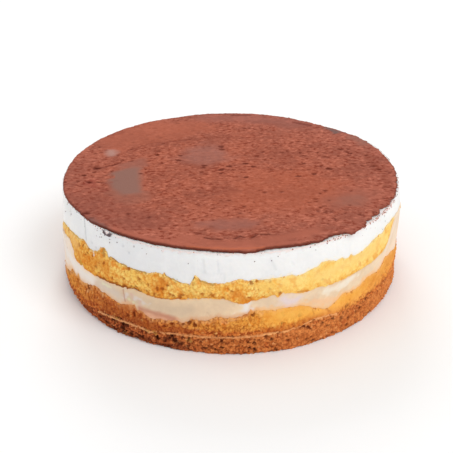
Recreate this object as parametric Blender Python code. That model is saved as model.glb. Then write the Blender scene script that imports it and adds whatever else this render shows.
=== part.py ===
"""Banoffee cake: a round, uncut layer cake, 230 mm across and 68 mm high.

Six layers share one axis. From the underside up they are a coarse crumb base, a dark sponge, a
pale filling, a golden sponge, a thick white cream and a thin sheet of cocoa. The seams between
them rise and fall round the side, as a hand-built cake's do, and run level towards the middle.

Units are metres, with +Z up, the origin at the middle of the flat underside and the front at -Y.
Angles are degrees round the axis from the front, positive towards +X. Knots, insets and ripples
are in millimetres.
"""

import math
from typing import NamedTuple

import bmesh
import bpy
from mathutils import Matrix, Vector

CAKE_NAME = "banoffee_cake"
MM = 0.001

# Driving dimensions.
CAKE_RADIUS = 0.115
CAKE_HEIGHT = 0.068
COCOA_RADIUS = 0.1118
COCOA_THICKNESS = 0.002
LAYER_GAP = 0.0003
SEGMENTS = 120

# A layer's side draws in by this much where it meets a seam, over this share of its height.
SEAM_GROOVE = 0.0004
GROOVE_SHARE = 0.1

# How far the cake's side stands in from CAKE_RADIUS at each height: a worn foot, a plumb side
# and a shoulder that leans in towards the cocoa. A negative inset stands proud.
SIDE_INSET = ((0.0, 0.3), (1.5, -0.6), (12.0, -0.5), (26.0, -0.1), (40.0, -0.3), (50.0, 0.5),
              (58.0, 1.1), (62.0, 1.8), (66.0, 2.8))

# How far the side has slid towards +X at each height.
SIDE_SHIFT = ((44.0, 0.0), (54.0, 1.2), (60.0, 1.1), (66.0, 0.4))

# How far the sheet of cocoa reaches past COCOA_RADIUS: it sags over the edge at the right of
# the front, and is worn back beside that and at the right of the back.
COCOA_REACH = ((-165, 0.3), (-120, -0.4), (-90, 0.2), (-66, 1.0), (-58, 0.0), (-46, -0.3),
               (-20, 0.0), (5, 0.2), (31, -0.5), (37, 1.6), (44, 1.5), (50, -0.4), (55, -0.2),
               (58.5, -1.8), (62, 0.4), (95, 0.0), (112, -1.6), (124, -0.6), (138, -1.8),
               (152, 0.0))


class Seam(NamedTuple):
    """A seam's height inside the cake, and its (angle, height) knots round the side."""

    middle: float
    knots: tuple


UNDERSIDE = Seam(0.0, ((0, 0.0),))

BASE_SEAM = Seam(12.0, (
    (-150, 12.8), (-110, 9.0), (-60, 5.8), (-44, 9.0), (-31, 12.5), (-24, 10.2), (-16, 12.6),
    (6, 13.7), (20, 14.6), (25, 16.8), (36, 15.2), (70, 15.8), (120, 12.0), (165, 13.0)))

LOWER_SEAM = Seam(24.5, (
    (-150, 22.4), (-120, 25.0), (-95, 19.0), (-76, 10.8), (-60, 22.0), (-54, 21.2), (-45, 25.6),
    (-36, 22.0), (-30, 24.4), (-23, 18.9), (-11, 22.6), (2, 26.0), (7, 30.2), (20, 29.6),
    (31, 22.2), (36, 28.0), (41, 26.9), (48, 31.0), (54, 29.0), (63, 31.6), (76, 25.6),
    (105, 26.4), (135, 28.4), (165, 25.2)))

FILLING_SEAM = Seam(37.0, (
    (-160, 37.8), (-125, 35.0), (-97, 38.5), (-76, 46.8), (-64, 45.8), (-60, 42.8), (-57, 34.6),
    (-45, 33.2), (-36, 34.0), (-29, 35.8), (-23, 34.2), (-4, 38.6), (3, 35.6), (8, 37.9),
    (16, 40.2), (22, 37.8), (40, 39.0), (47, 41.0), (56, 41.2), (60, 48.0), (63, 55.4),
    (76, 54.0), (97, 40.5), (130, 37.2), (160, 39.6)))

CREAM_SEAM = Seam(51.0, (
    (-160, 49.4), (-130, 53.2), (-100, 50.4), (-76, 48.4), (-60, 50.3), (-52, 52.0), (-47, 49.0),
    (-41, 55.4), (-38, 51.6), (-27, 49.2), (-20, 50.6), (-13, 47.0), (-9.5, 51.8), (-5, 48.1),
    (3.5, 51.4), (8, 50.3), (21, 50.3), (28.5, 55.8), (32, 53.5), (42, 52.3), (49, 55.3),
    (61, 58.5), (76, 56.6), (100, 51.6), (132, 54.0), (158, 50.2)))

COCOA_SEAM_HEIGHT = (CAKE_HEIGHT - COCOA_THICKNESS) / MM
COCOA_SEAM = Seam(COCOA_SEAM_HEIGHT, ((0, COCOA_SEAM_HEIGHT),))
CROWN = Seam(CAKE_HEIGHT / MM, ((0, CAKE_HEIGHT / MM),))


class Ripple(NamedTuple):
    """A gentle unevenness of a layer's side: its height in millimetres and its two wave counts."""

    height: float
    slow: int
    quick: int


class Layer(NamedTuple):
    """One layer: its seams, the shares of its height that have a ring of points, and its look."""

    name: str
    foot: Seam
    head: Seam
    rings: tuple
    ripple: Ripple
    colour: tuple
    roughness: float


SPONGE_RINGS = (0.1, 0.5, 0.9)
CREAM_RINGS = (0.1, 0.4, 0.65, 0.82, 0.93)
COCOA_RINGS = (0.35, 0.75)

LAYERS = (
    Layer("crumb_base", UNDERSIDE, BASE_SEAM, SPONGE_RINGS, Ripple(0.45, 7, 19),
          (176, 104, 52), 0.95),
    Layer("sponge_lower", BASE_SEAM, LOWER_SEAM, SPONGE_RINGS, Ripple(0.35, 5, 23),
          (211, 130, 62), 0.95),
    Layer("cream_filling", LOWER_SEAM, FILLING_SEAM, SPONGE_RINGS, Ripple(0.20, 4, 13),
          (226, 203, 174), 0.45),
    Layer("sponge_upper", FILLING_SEAM, CREAM_SEAM, SPONGE_RINGS, Ripple(0.35, 6, 21),
          (240, 184, 92), 0.95),
    Layer("cream_top", CREAM_SEAM, COCOA_SEAM, CREAM_RINGS, Ripple(0.15, 3, 11),
          (240, 238, 235), 0.50),
    Layer("cocoa_top", COCOA_SEAM, CROWN, COCOA_RINGS, Ripple(0.25, 9, 31),
          (150, 84, 66), 0.90),
)


def smooth_curve(knots, place):
    """Height at a place on a smooth curve through the knots, with no overshoot between them."""
    last = len(knots) - 1
    if last == 0 or place <= knots[0][0]:
        return knots[0][1]
    if place >= knots[last][0]:
        return knots[last][1]
    rises = [(b[1] - a[1]) / (b[0] - a[0]) for a, b in zip(knots, knots[1:])]

    def slope(k):
        if k in (0, last) or rises[k - 1] * rises[k] <= 0:
            return 0.0
        return 2 * rises[k - 1] * rises[k] / (rises[k - 1] + rises[k])

    k = max(i for i in range(last) if knots[i][0] <= place)
    span = knots[k + 1][0] - knots[k][0]
    t = (place - knots[k][0]) / span
    from_left = (1 + 2 * t) * (1 - t) ** 2 * knots[k][1] + t * (1 - t) ** 2 * span * slope(k)
    from_right = t * t * (3 - 2 * t) * knots[k + 1][1] + t * t * (t - 1) * span * slope(k + 1)
    return from_left + from_right


def round_curve(knots, angle):
    """The same, for knots that go once round the cake."""
    before = [(a - 360, h) for a, h in knots]
    after = [(a + 360, h) for a, h in knots]
    return smooth_curve(before + list(knots) + after, angle)


def ease(share):
    """Zero up to a share of 0, one from a share of 1, and smooth between them."""
    share = min(1.0, max(0.0, share))
    return share * share * (3 - 2 * share)


def side_radius(angle, height):
    """Radius of the cake's side, before a layer's own ripple."""
    inset = smooth_curve(SIDE_INSET, height / MM) * MM
    shift = smooth_curve(SIDE_SHIFT, height / MM) * MM
    return CAKE_RADIUS - inset + shift * math.sin(math.radians(angle))


def cocoa_radius(angle, share):
    """Radius of the cocoa at a share of its thickness, with a rounded upper edge."""
    reach = round_curve(COCOA_REACH, angle) * MM
    edge = ease((share - COCOA_RINGS[0]) / (1 - COCOA_RINGS[0])) * COCOA_THICKNESS / 2
    return COCOA_RADIUS + reach - edge


def ripple_at(ripple, angle, share):
    """The unevenness of a layer's side, which leans a little with the height."""
    turn = math.radians(angle)
    slow = math.sin(ripple.slow * turn + 2.0 * share)
    quick = math.sin(ripple.quick * turn + 1.3 + 3.0 * share)
    return ripple.height * MM * (0.65 * slow + 0.35 * quick)


def groove_at(share):
    """How far a layer's side draws in beside its seams."""
    to_seam = min(share, 1 - share)
    return SEAM_GROOVE * (1 - ease(to_seam / GROOVE_SHARE))


def layer_heights(layer, angle):
    """Heights of a layer's foot and head at the side, half a gap clear of each seam."""
    foot = round_curve(layer.foot.knots, angle) * MM
    head = round_curve(layer.head.knots, angle) * MM
    return clear_of_seams(layer, foot, head)


def clear_of_seams(layer, foot, head):
    """Moves a foot up and a head down by half a gap, but not the underside or the crown."""
    if layer.foot is not UNDERSIDE:
        foot += LAYER_GAP / 2
    if layer.head is not CROWN:
        head -= LAYER_GAP / 2
    return foot, head


def place_point(layer, point):
    """Moves a point of a unit cylinder to its place in a layer."""
    share = point.z
    if math.hypot(point.x, point.y) < 0.5:
        foot, head = clear_of_seams(layer, layer.foot.middle * MM, layer.head.middle * MM)
        return Vector((0, 0, foot + share * (head - foot)))
    angle = math.degrees(math.atan2(point.x, -point.y))
    foot, head = layer_heights(layer, angle)
    height = foot + share * (head - foot)
    if layer.head is CROWN:
        radius = cocoa_radius(angle, share)
    else:
        radius = side_radius(angle, height) - groove_at(share)
    radius += ripple_at(layer.ripple, angle, share)
    turn = math.radians(angle)
    return Vector((radius * math.sin(turn), -radius * math.cos(turn), height))


def linear_channel(value):
    """A colour channel of 0 to 255, as a linear value."""
    value /= 255
    if value <= 0.04045:
        return value / 12.92
    return ((value + 0.055) / 1.055) ** 2.4


def layer_material(layer):
    """A layer's own material."""
    material = bpy.data.materials.new(layer.name)
    material.use_nodes = True
    shader = material.node_tree.nodes["Principled BSDF"]
    colour = [linear_channel(value) for value in layer.colour]
    shader.inputs["Base Color"].default_value = (*colour, 1)
    shader.inputs["Roughness"].default_value = layer.roughness
    shader.inputs["Metallic"].default_value = 0.0
    return material


def build_layer(layer, collection):
    """Makes one layer from a cylinder whose side is cut into rings and then shaped."""
    bm = bmesh.new()
    bmesh.ops.create_cone(bm, cap_ends=True, cap_tris=True, segments=SEGMENTS, radius1=1,
                          radius2=1, depth=1, matrix=Matrix.Translation((0, 0, 0.5)))
    for share in layer.rings:
        geometry = bm.verts[:] + bm.edges[:] + bm.faces[:]
        bmesh.ops.bisect_plane(bm, geom=geometry, plane_co=(0, 0, share), plane_no=(0, 0, 1))
    for vertex in bm.verts:
        vertex.co = place_point(layer, vertex.co)
    bmesh.ops.triangulate(bm, faces=bm.faces)
    mesh = bpy.data.meshes.new(layer.name)
    bm.to_mesh(mesh)
    bm.free()
    mesh.shade_smooth()
    mesh.set_sharp_from_angle(angle=math.radians(50))
    mesh.materials.append(layer_material(layer))
    collection.objects.link(bpy.data.objects.new(layer.name, mesh))


def main():
    """Clears the scene and builds the six layers."""
    for item in list(bpy.data.objects):
        bpy.data.objects.remove(item)
    collection = bpy.data.collections.new(CAKE_NAME)
    bpy.context.scene.collection.children.link(collection)
    for layer in LAYERS:
        build_layer(layer, collection)


if __name__ == "__main__":
    main()
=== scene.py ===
"""Banoffee cake: the finished look of a round, uncut layer cake.

Each layer of the frame gives way to a finely meshed one. Its side takes its shape from the frame's
own node, its seams gain the narrow tears that are too fine for the frame, and Geometry Nodes raise
its crumb and sink its pores. Loose crumbs and grains of cocoa are scattered over it.

Meshes are in metres, with +Z up and the front at -Y. Angles are degrees round the cake from the
front, positive towards +X. The small features' places, sizes and depths are in millimetres.
"""

import logging
import math
from dataclasses import dataclass, fields
from enum import Enum
from types import SimpleNamespace

import bpy
import numpy as np
from bpy.types import Material, Mesh, Node, NodeSocket, NodeTree, Object
from mathutils import Euler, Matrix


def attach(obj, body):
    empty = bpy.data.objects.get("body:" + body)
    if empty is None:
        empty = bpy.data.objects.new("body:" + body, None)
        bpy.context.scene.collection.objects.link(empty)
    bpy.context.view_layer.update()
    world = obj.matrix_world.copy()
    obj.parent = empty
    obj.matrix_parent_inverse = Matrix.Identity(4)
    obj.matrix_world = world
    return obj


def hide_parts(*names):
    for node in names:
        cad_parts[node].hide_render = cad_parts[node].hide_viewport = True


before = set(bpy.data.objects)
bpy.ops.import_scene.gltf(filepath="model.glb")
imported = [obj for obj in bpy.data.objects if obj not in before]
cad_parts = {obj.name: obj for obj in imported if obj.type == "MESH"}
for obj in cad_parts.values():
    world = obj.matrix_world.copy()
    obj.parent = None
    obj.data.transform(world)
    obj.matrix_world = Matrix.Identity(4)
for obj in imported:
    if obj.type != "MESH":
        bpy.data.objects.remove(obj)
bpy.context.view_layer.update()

LOG = logging.getLogger("cake")
MM = 0.001
BODY = "root"
BAKE_MAP = "OFBake"

# The frame's nodes: the columns of points round a side, the gap between two layers in millimetres,
# and the radius in metres within which points belong to the middle of an end.
FRAME_COLUMNS = 120
FRAME_GAP = 0.3
MIDDLE_RADIUS = 0.05

# The side's usual radius in millimetres, the length of a degree on it, and how many more points
# each ring of a fine disc has than the ring inside it.
SIDE_RADIUS = 115.0
MM_PER_DEGREE = SIDE_RADIUS * math.pi / 180
RING_STEP = 6

# The crossed waves that make stains uneven: their seed, number, range of lengths and calming.
RIPPLE_SEED = 5
RIPPLE_COUNT = 10
RIPPLE_LENGTHS = (0.5, 1.6)
RIPPLE_CALM = 4

Colour = tuple[int, int, int]
Path = tuple[tuple[float, float], ...]


# ---------------------------------------------------------------------------------- numbers


def linear(colour: Colour, alpha: float = 1.0) -> tuple[float, float, float, float]:
    """Turns a display colour into a linear one.

    Args:
        colour: Red, green and blue, from 0 to 255.
        alpha: The fourth channel.

    Returns:
        Four linear channels.
    """
    share = np.asarray(colour, float) / 255
    low = share / 12.92
    high = ((share + 0.055) / 1.055) ** 2.4
    return (*(float(c) for c in np.where(share <= 0.04045, low, high)), alpha)


def ease(share: np.ndarray) -> np.ndarray:
    """Eases a share from 0 to 1, and holds it at those outside."""
    share = np.clip(share, 0.0, 1.0)
    return share * share * (3 - 2 * share)


def around(values: np.ndarray, angles: np.ndarray) -> np.ndarray:
    """Reads a smooth closed curve through values that stand evenly round the cake.

    Args:
        values: The curve's values, from angle 0 on.
        angles: Where to read it, in degrees.

    Returns:
        The curve's value at each angle.
    """
    count = len(values)
    place = angles % 360 / 360 * count
    low = np.floor(place).astype(int)
    t = place - low
    a, b, c, d = (values[(low + step) % count] for step in (-1, 0, 1, 2))
    return b + 0.5 * t * (c - a + t * (2 * a - 5 * b + 4 * c - d + t * (3 * (b - c) + d - a)))


def wander(angles: np.ndarray, seed: int, waves: tuple[tuple[int, float], ...]) -> np.ndarray:
    """Draws a line that wanders up and down round the cake.

    Args:
        angles: Where to read it, in degrees.
        seed: Picks the line.
        waves: For each layer of detail, its number of knots and its height.

    Returns:
        The line's height at each angle.
    """
    rng = np.random.default_rng(seed)
    line = np.zeros(len(angles))
    for count, height in waves:
        line += height * around(rng.uniform(-1, 1, count), angles)
    return line


def off_front(angles: np.ndarray) -> np.ndarray:
    """Angles as degrees from the front, from -180 to 180."""
    return (angles + 180) % 360 - 180


def angles_of(places: np.ndarray) -> np.ndarray:
    """The angles at which places stand, in degrees from the front."""
    return np.degrees(np.arctan2(places[:, 0], -places[:, 1]))


def profile(knots: Path, angles: np.ndarray) -> np.ndarray:
    """Reads a line through knots of angle and value round the cake."""
    turned, values = zip(*knots)
    return np.interp(angles, turned, values, period=360)


def ripple(places: np.ndarray, size: float) -> np.ndarray:
    """Reads a field of crossed waves, which makes the soft edge of a stain uneven.

    Args:
        places: Places in the plane, in millimetres.
        size: The usual length of a wave, in millimetres.

    Returns:
        A number for each place, mostly from -1 to 1.
    """
    rng = np.random.default_rng(RIPPLE_SEED)
    total = np.zeros(len(places))
    shortest, longest = RIPPLE_LENGTHS
    draws = rng.uniform((0, shortest, 0), (math.tau, longest, math.tau), (RIPPLE_COUNT, 3))
    for turn, length, start in draws:
        way = np.array((math.cos(turn), math.sin(turn))) * (math.tau / size / length)
        total += np.sin(places @ way + start)
    return total / RIPPLE_CALM


def inside(places: np.ndarray, outline: np.ndarray) -> np.ndarray:
    """Tells which places lie inside a closed outline.

    Args:
        places: Places in the plane.
        outline: The outline's corners in turn.

    Returns:
        True for each place inside.
    """
    x, y = places.T
    found = np.zeros(len(places), bool)
    for (ax, ay), (bx, by) in zip(outline, np.roll(outline, -1, 0)):
        crossed = (ay > y) != (by > y)
        reach = (by - ay) or 1.0
        found ^= crossed & (x < ax + (bx - ax) * (y - ay) / reach)
    return found


# ---------------------------------------------------------------------------------- nodes


class Value:
    """A number's socket in a node tree, which Python's operators work on."""

    def __init__(self, wires: "Wires", socket: NodeSocket) -> None:
        """Keeps the tree's wires and the socket."""
        self.wires = wires
        self.socket = socket

    def __add__(self, other: "Number") -> "Value":
        """Adds."""
        return self.wires.math("ADD", self, other)

    def __sub__(self, other: "Number") -> "Value":
        """Subtracts."""
        return self.wires.math("SUBTRACT", self, other)

    def __rsub__(self, other: float) -> "Value":
        """Subtracts from a number."""
        return self.wires.math("SUBTRACT", other, self)

    def __mul__(self, other: "Number") -> "Value":
        """Multiplies."""
        return self.wires.math("MULTIPLY", self, other)

    def __rtruediv__(self, other: float) -> "Value":
        """Divides a number."""
        return self.wires.math("DIVIDE", other, self)

    __radd__ = __add__

    def lifted(self, floor: float) -> "Value":
        """Squeezes a share into the range from a floor to 1."""
        return self * (1 - floor) + floor


Number = Value | float


class Wires:
    """A node tree that is being wired, for a shader or for geometry."""

    SEED_SHIFT = (0.31, 0.17, 0.23)
    GREY = (0.5, 0.5, 0.5)

    def __init__(self, tree: NodeTree) -> None:
        """Keeps the tree."""
        self.tree = tree

    def node(self, kind: str, sockets: dict | None = None, **settings: object) -> Node:
        """Adds a node.

        Args:
            kind: The node's type.
            sockets: A value or a link for each of its inputs, by name or number.
            settings: Its own settings, which are set first.

        Returns:
            The node.
        """
        node = self.tree.nodes.new(kind)
        for name, value in settings.items():
            setattr(node, name, value)
        for key, value in (sockets or {}).items():
            self.join(value, node.inputs[key])
        return node

    def output(self, kind: str, sockets: dict | None = None, number: int = 0,
               **settings: object) -> NodeSocket:
        """Adds a node and gives one of its outputs."""
        return self.node(kind, sockets, **settings).outputs[number]

    def join(self, value: object, socket: NodeSocket) -> None:
        """Links a socket or a Value to an input, or sets a plain value on it."""
        if isinstance(value, Value):
            value = value.socket
        if isinstance(value, NodeSocket):
            self.tree.links.new(value, socket)
        else:
            socket.default_value = value

    def math(self, operation: str, *values: Number) -> Value:
        """Works on numbers with a Math node."""
        sockets = dict(enumerate(values))
        return Value(self, self.output("ShaderNodeMath", sockets, operation=operation))

    def vector(self, operation: str, *vectors: object) -> NodeSocket:
        """Works on vectors with a Vector Math node."""
        sockets = dict(enumerate(vectors))
        return self.output("ShaderNodeVectorMath", sockets, operation=operation)

    def scaled(self, vector: object, factor: Number) -> NodeSocket:
        """Scales a vector by a number."""
        sockets = {0: vector, "Scale": factor}
        return self.output("ShaderNodeVectorMath", sockets, operation="SCALE")

    def step(self, value: Value, low: Number, high: Number) -> Value:
        """Eases a number from 0 at low to 1 at high."""
        sockets = {"Value": value, "From Min": low, "From Max": high}
        eased = self.output("ShaderNodeMapRange", sockets, interpolation_type="SMOOTHSTEP")
        return Value(self, eased)

    def mix(self, factor: Number, first: object, second: object) -> NodeSocket:
        """Mixes two colours: all the first at factor 0, and all the second at 1."""
        sockets = {0: factor, 6: first, 7: second}
        return self.output("ShaderNodeMix", sockets, 2, data_type="RGBA")

    def shifted(self, vector: object, seed: Number) -> NodeSocket:
        """Moves coordinates to another part of a pattern, which the seed picks."""
        return self.vector("ADD", vector, self.scaled(self.SEED_SHIFT, seed))

    def noise_node(self, vector: object, size: Number, seed: Number, detail: float = 2.0) -> Node:
        """Adds a Noise Texture.

        Args:
            vector: The coordinates, in metres.
            size: The size of its blobs, in millimetres.
            seed: Picks the pattern.
            detail: How many finer layers it has.

        Returns:
            The node.
        """
        sockets = {"Vector": self.shifted(vector, seed), "Scale": 1 / MM / size, "Detail": detail}
        return self.node("ShaderNodeTexNoise", sockets)

    def noise(self, vector: object, size: Number, seed: Number, detail: float = 2.0) -> Value:
        """Reads noise as a number."""
        return Value(self, self.noise_node(vector, size, seed, detail).outputs[0])

    def push(self, vector: object, size: Number, seed: Number) -> NodeSocket:
        """Reads noise as a vector, from -0.5 to 0.5 each way."""
        return self.vector("SUBTRACT", self.noise_node(vector, size, seed).outputs[1], self.GREY)

    def cells(self, vector: object, size: Number, seed: Number) -> tuple[Value, Value]:
        """Adds a Voronoi Texture.

        Args:
            vector: The coordinates, in metres.
            size: The size of its cells, in millimetres.
            seed: Picks the pattern.

        Returns:
            The distance to the nearest cell's middle in cells, and a random number for that cell.
        """
        sockets = {"Vector": self.shifted(vector, seed), "Scale": 1 / MM / size}
        node = self.node("ShaderNodeTexVoronoi", sockets)
        chance = self.output("ShaderNodeSeparateXYZ", {0: node.outputs[1]})
        return Value(self, node.outputs[0]), Value(self, chance)

    def bend(self, vector: object, size: float, reach: Number, seed: Number) -> NodeSocket:
        """Bends coordinates by noise, so that round cells come out irregular.

        Args:
            vector: The coordinates, in metres.
            size: The size of the bends, in millimetres.
            reach: How far they go, in millimetres.
            seed: Picks the pattern.

        Returns:
            The bent coordinates.
        """
        push = self.push(vector, size, seed)
        return self.vector("ADD", vector, self.scaled(push, reach * MM))


# ---------------------------------------------------------------------------------- relief


class Relief(Wires):
    """A Geometry Nodes tree with named numbers, which is run on an object and then let go."""

    made: dict[str, NodeTree] = {}

    # Pores: how strongly they crowd, how softly they are chosen, their least radius and its growth
    # in cells, the edges of their walls, and the choice at which they reach their full depth.
    PORE_CROWDING = 1.2
    PORE_CHOICE = 0.15
    PORE_LEAST = 0.12
    PORE_GROWTH = 0.35
    PORE_WALL = (-0.03, 0.13)
    PORE_FULL = 0.4

    def __init__(self, name: str, sizes: dict[str, float]) -> None:
        """Starts a tree.

        Args:
            name: The tree's name.
            sizes: Its named numbers, each with its usual value.
        """
        tree = bpy.data.node_groups.new(name, "GeometryNodeTree")
        self.made[name] = tree
        new = tree.interface.new_socket
        new("Geometry", in_out="OUTPUT", socket_type="NodeSocketGeometry")
        new("Geometry", in_out="INPUT", socket_type="NodeSocketGeometry")
        new("Material", in_out="INPUT", socket_type="NodeSocketMaterial")
        for size, usual in sizes.items():
            new(size, in_out="INPUT", socket_type="NodeSocketFloat").default_value = usual
        super().__init__(tree)
        source = self.node("NodeGroupInput")
        self.mesh = source.outputs["Geometry"]
        self.material = source.outputs["Material"]
        values = {size: Value(self, source.outputs[size]) for size in sizes}
        self.sizes = SimpleNamespace(**values)
        self.place = self.output("GeometryNodeInputPosition")

    def attribute(self, name: str) -> Value:
        """Reads a number that the mesh carries."""
        sockets = {"Name": name}
        found = self.output("GeometryNodeInputNamedAttribute", sockets, data_type="FLOAT")
        return Value(self, found)

    def keep(self, geometry: object, values: dict[str, Value]) -> NodeSocket:
        """Stores numbers on the mesh by name."""
        for name, value in values.items():
            sockets = {"Geometry": geometry, "Name": name, "Value": value}
            geometry = self.output("GeometryNodeStoreNamedAttribute", sockets, data_type="FLOAT")
        return geometry

    def raised(self, geometry: object, rise: Value) -> NodeSocket:
        """Moves a mesh's points along their normals, by millimetres."""
        normal = self.output("GeometryNodeInputNormal")
        return self.moved(geometry, self.scaled(normal, rise * MM))

    def moved(self, geometry: object, offset: NodeSocket) -> NodeSocket:
        """Moves a mesh's points, each by its own offset."""
        return self.output("GeometryNodeSetPosition", {"Geometry": geometry, "Offset": offset})

    def random(self, kind: str, low: object, high: object, seed: int) -> NodeSocket:
        """Draws a number or a vector for each point."""
        first = 0 if kind == "FLOAT_VECTOR" else 2
        sockets = {first: low, first + 1: high, "Seed": seed}
        return self.output("FunctionNodeRandomValue", sockets, first // 2, data_type=kind)

    def pores(self, place: object, size: Value, share: Value, seed: Value,
              crowding: float = 11.0) -> Value:
        """Adds pores, which stand in crowds.

        Args:
            place: The coordinates.
            size: The size of the cells that may hold a pore, in millimetres.
            share: The share of the cells that do.
            seed: Picks the pattern.
            crowding: The size of a crowd, in millimetres.

        Returns:
            How deep into a pore each point lies, from 0 to 1.
        """
        crowd = self.noise(place, crowding, seed + 5.0)
        distance, chance = self.cells(place, size, seed + 20.0)
        chosen = self.step(chance + (crowd - 0.5) * self.PORE_CROWDING, 1 - share,
                           1 + self.PORE_CHOICE - share)
        radius = self.PORE_LEAST + chosen * self.PORE_GROWTH
        depth = self.step(radius - distance, *self.PORE_WALL)
        return depth * self.step(chosen, 0.0, self.PORE_FULL) * self.attribute("open")

    def realized(self, geometry: NodeSocket) -> NodeSocket:
        """Turns instances into plain geometry."""
        return self.output("GeometryNodeRealizeInstances", {"Geometry": geometry})

    def end(self, geometry: NodeSocket) -> None:
        """Realizes the instances, sets the material and ends the tree."""
        sockets = {"Geometry": self.realized(geometry), "Material": self.material}
        dressed = self.output("GeometryNodeSetMaterial", sockets)
        self.node("NodeGroupOutput", {"Geometry": dressed})

    @classmethod
    def run(cls, name: str, item: Object, values: dict[str, object]) -> None:
        """Runs a tree on an object and keeps the result as its plain mesh.

        Args:
            name: The tree's name.
            item: The object.
            values: The tree's inputs by name.
        """
        tree = cls.made[name]
        modifier = item.modifiers.new(name, "NODES")
        modifier.node_group = tree
        for socket in tree.interface.items_tree:
            if socket.in_out == "INPUT" and socket.name in values:
                modifier[socket.identifier] = values[socket.name]
        graph = bpy.context.evaluated_depsgraph_get()
        mesh = bpy.data.meshes.new_from_object(
            item.evaluated_get(graph), preserve_all_data_layers=True, depsgraph=graph)
        item.modifiers.remove(modifier)
        before = item.data
        item.data = mesh
        bpy.data.meshes.remove(before)
        mesh.name = item.name
        mesh.shade_smooth()


class Treatment:
    """What a tree of Geometry Nodes does to an object, with the tree's named numbers as fields."""

    TREE = ""

    @classmethod
    def start_tree(cls) -> Relief:
        """Starts the tree with its named numbers."""
        return Relief(cls.TREE, {entry.name: entry.default for entry in fields(cls)})

    def treat(self, item: Object, material: Material) -> None:
        """Runs the tree on an object and gives it its material."""
        values = {entry.name: getattr(self, entry.name) for entry in fields(self)}
        Relief.run(self.TREE, item, values | {"Material": material})


@dataclass(frozen=True)
class Crumb(Treatment):
    """The relief of a baked or creamy side, in millimetres."""

    lump_size: float = 6.0
    lump_height: float = 0.3
    crumb_size: float = 2.2
    crumb_height: float = 0.6
    grain_size: float = 1.2
    grain_height: float = 0.3
    pore_size: float = 3.4
    pore_depth: float = 0.8
    pore_share: float = 0.25
    flatten: float = 1.3
    seed: float = 1.0

    TREE = "crumb_relief"
    BEND_SIZE = 2.6
    BEND_REACH = 1.1
    MOUND = (0.15, 0.75)
    COARSE = 0.6

    @classmethod
    def make_tree(cls) -> None:
        """Builds the tree that heaps up crumbs and grains and sinks pores between them."""
        tree = cls.start_tree()
        size = tree.sizes
        seed = size.seed
        upright = tree.output("ShaderNodeCombineXYZ", {0: 1.0, 1: 1.0, 2: size.flatten})
        flat = tree.vector("MULTIPLY", tree.place, upright)
        bent = tree.bend(flat, cls.BEND_SIZE, size.crumb_size * cls.BEND_REACH, seed + 9.0)
        lumps = tree.noise(flat, size.lump_size, seed)
        far, tone = tree.cells(bent, size.crumb_size, seed)
        near, fine_tone = tree.cells(bent, size.grain_size, seed + 7.0)
        crumb = 1 - tree.step(far, *cls.MOUND)
        grain = 1 - tree.step(near, *cls.MOUND)
        pore = tree.pores(bent, size.pore_size, size.pore_share, seed)
        rise = (lumps - 0.5) * 2 * size.lump_height - pore * size.pore_depth
        rise = rise + (crumb * (tone + 0.5) - 0.5) * size.crumb_height
        rise = rise + (grain - 0.5) * size.grain_height
        moved = tree.raised(tree.mesh, rise * tree.attribute("relief"))
        heap = crumb * cls.COARSE + grain * (1 - cls.COARSE)
        tone = tone * cls.COARSE + fine_tone * (1 - cls.COARSE)
        # The pore share also sets the painted shade in the pores.
        tree.end(tree.keep(moved, {"pore": pore, "heap": heap, "tone": tone}))


@dataclass(frozen=True)
class Powder(Treatment):
    """The relief of sifted powder, in millimetres: soft swells, lumps, grains, nicks and pits."""

    swell_size: float = 16.0
    swell_height: float = 0.25
    lump_size: float = 3.0
    lump_height: float = 0.36
    grain_size: float = 1.5
    grain_height: float = 0.28
    nick_size: float = 3.0
    nick_depth: float = 0.4
    nick_share: float = 0.17
    pit_size: float = 4.0
    pit_depth: float = 0.35
    pit_share: float = 0.03
    seed: float = 6.0

    TREE = "powder_relief"
    WIDEN = (0.7, 1.0, 1.0)
    BEND_SIZE = 2.4
    BEND_REACH = 2.2
    MOUND = (0.0, 0.8)
    NICK_CROWDING = 20.0
    PIT_CROWDING = 40.0

    @classmethod
    def make_tree(cls) -> None:
        """Builds the tree."""
        tree = cls.start_tree()
        size = tree.sizes
        seed = size.seed
        wide = tree.vector("MULTIPLY", tree.place, cls.WIDEN)
        bent = tree.bend(wide, cls.BEND_SIZE, cls.BEND_REACH, seed + 9.0)
        swell = tree.noise(wide, size.swell_size, seed)
        far, tone = tree.cells(bent, size.lump_size, seed)
        lump = 1 - tree.step(far, *cls.MOUND)
        grain = tree.noise(wide, size.grain_size, seed + 4.0)
        nick = tree.pores(bent, size.nick_size, size.nick_share, seed + 11.0, cls.NICK_CROWDING)
        pit = tree.pores(bent, size.pit_size, size.pit_share, seed + 38.0, cls.PIT_CROWDING)
        rise = (swell - 0.5) * 2 * size.swell_height + (grain - 0.5) * 2 * size.grain_height
        rise = rise + (lump * (tone + 0.4) - 0.5) * size.lump_height
        rise = rise - nick * size.nick_depth - pit * size.pit_depth
        moved = tree.raised(tree.mesh, rise * tree.attribute("relief"))
        # The share of painted shade that the nicks and pits get.
        pore = tree.math("MAXIMUM", nick * (tone * 0.5 + 0.25), pit)
        heap = lump * 0.5 + (grain - 0.5) * 0.8 + 0.25
        tree.end(tree.keep(moved, {"pore": pore, "heap": heap, "tone": tone}))


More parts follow.
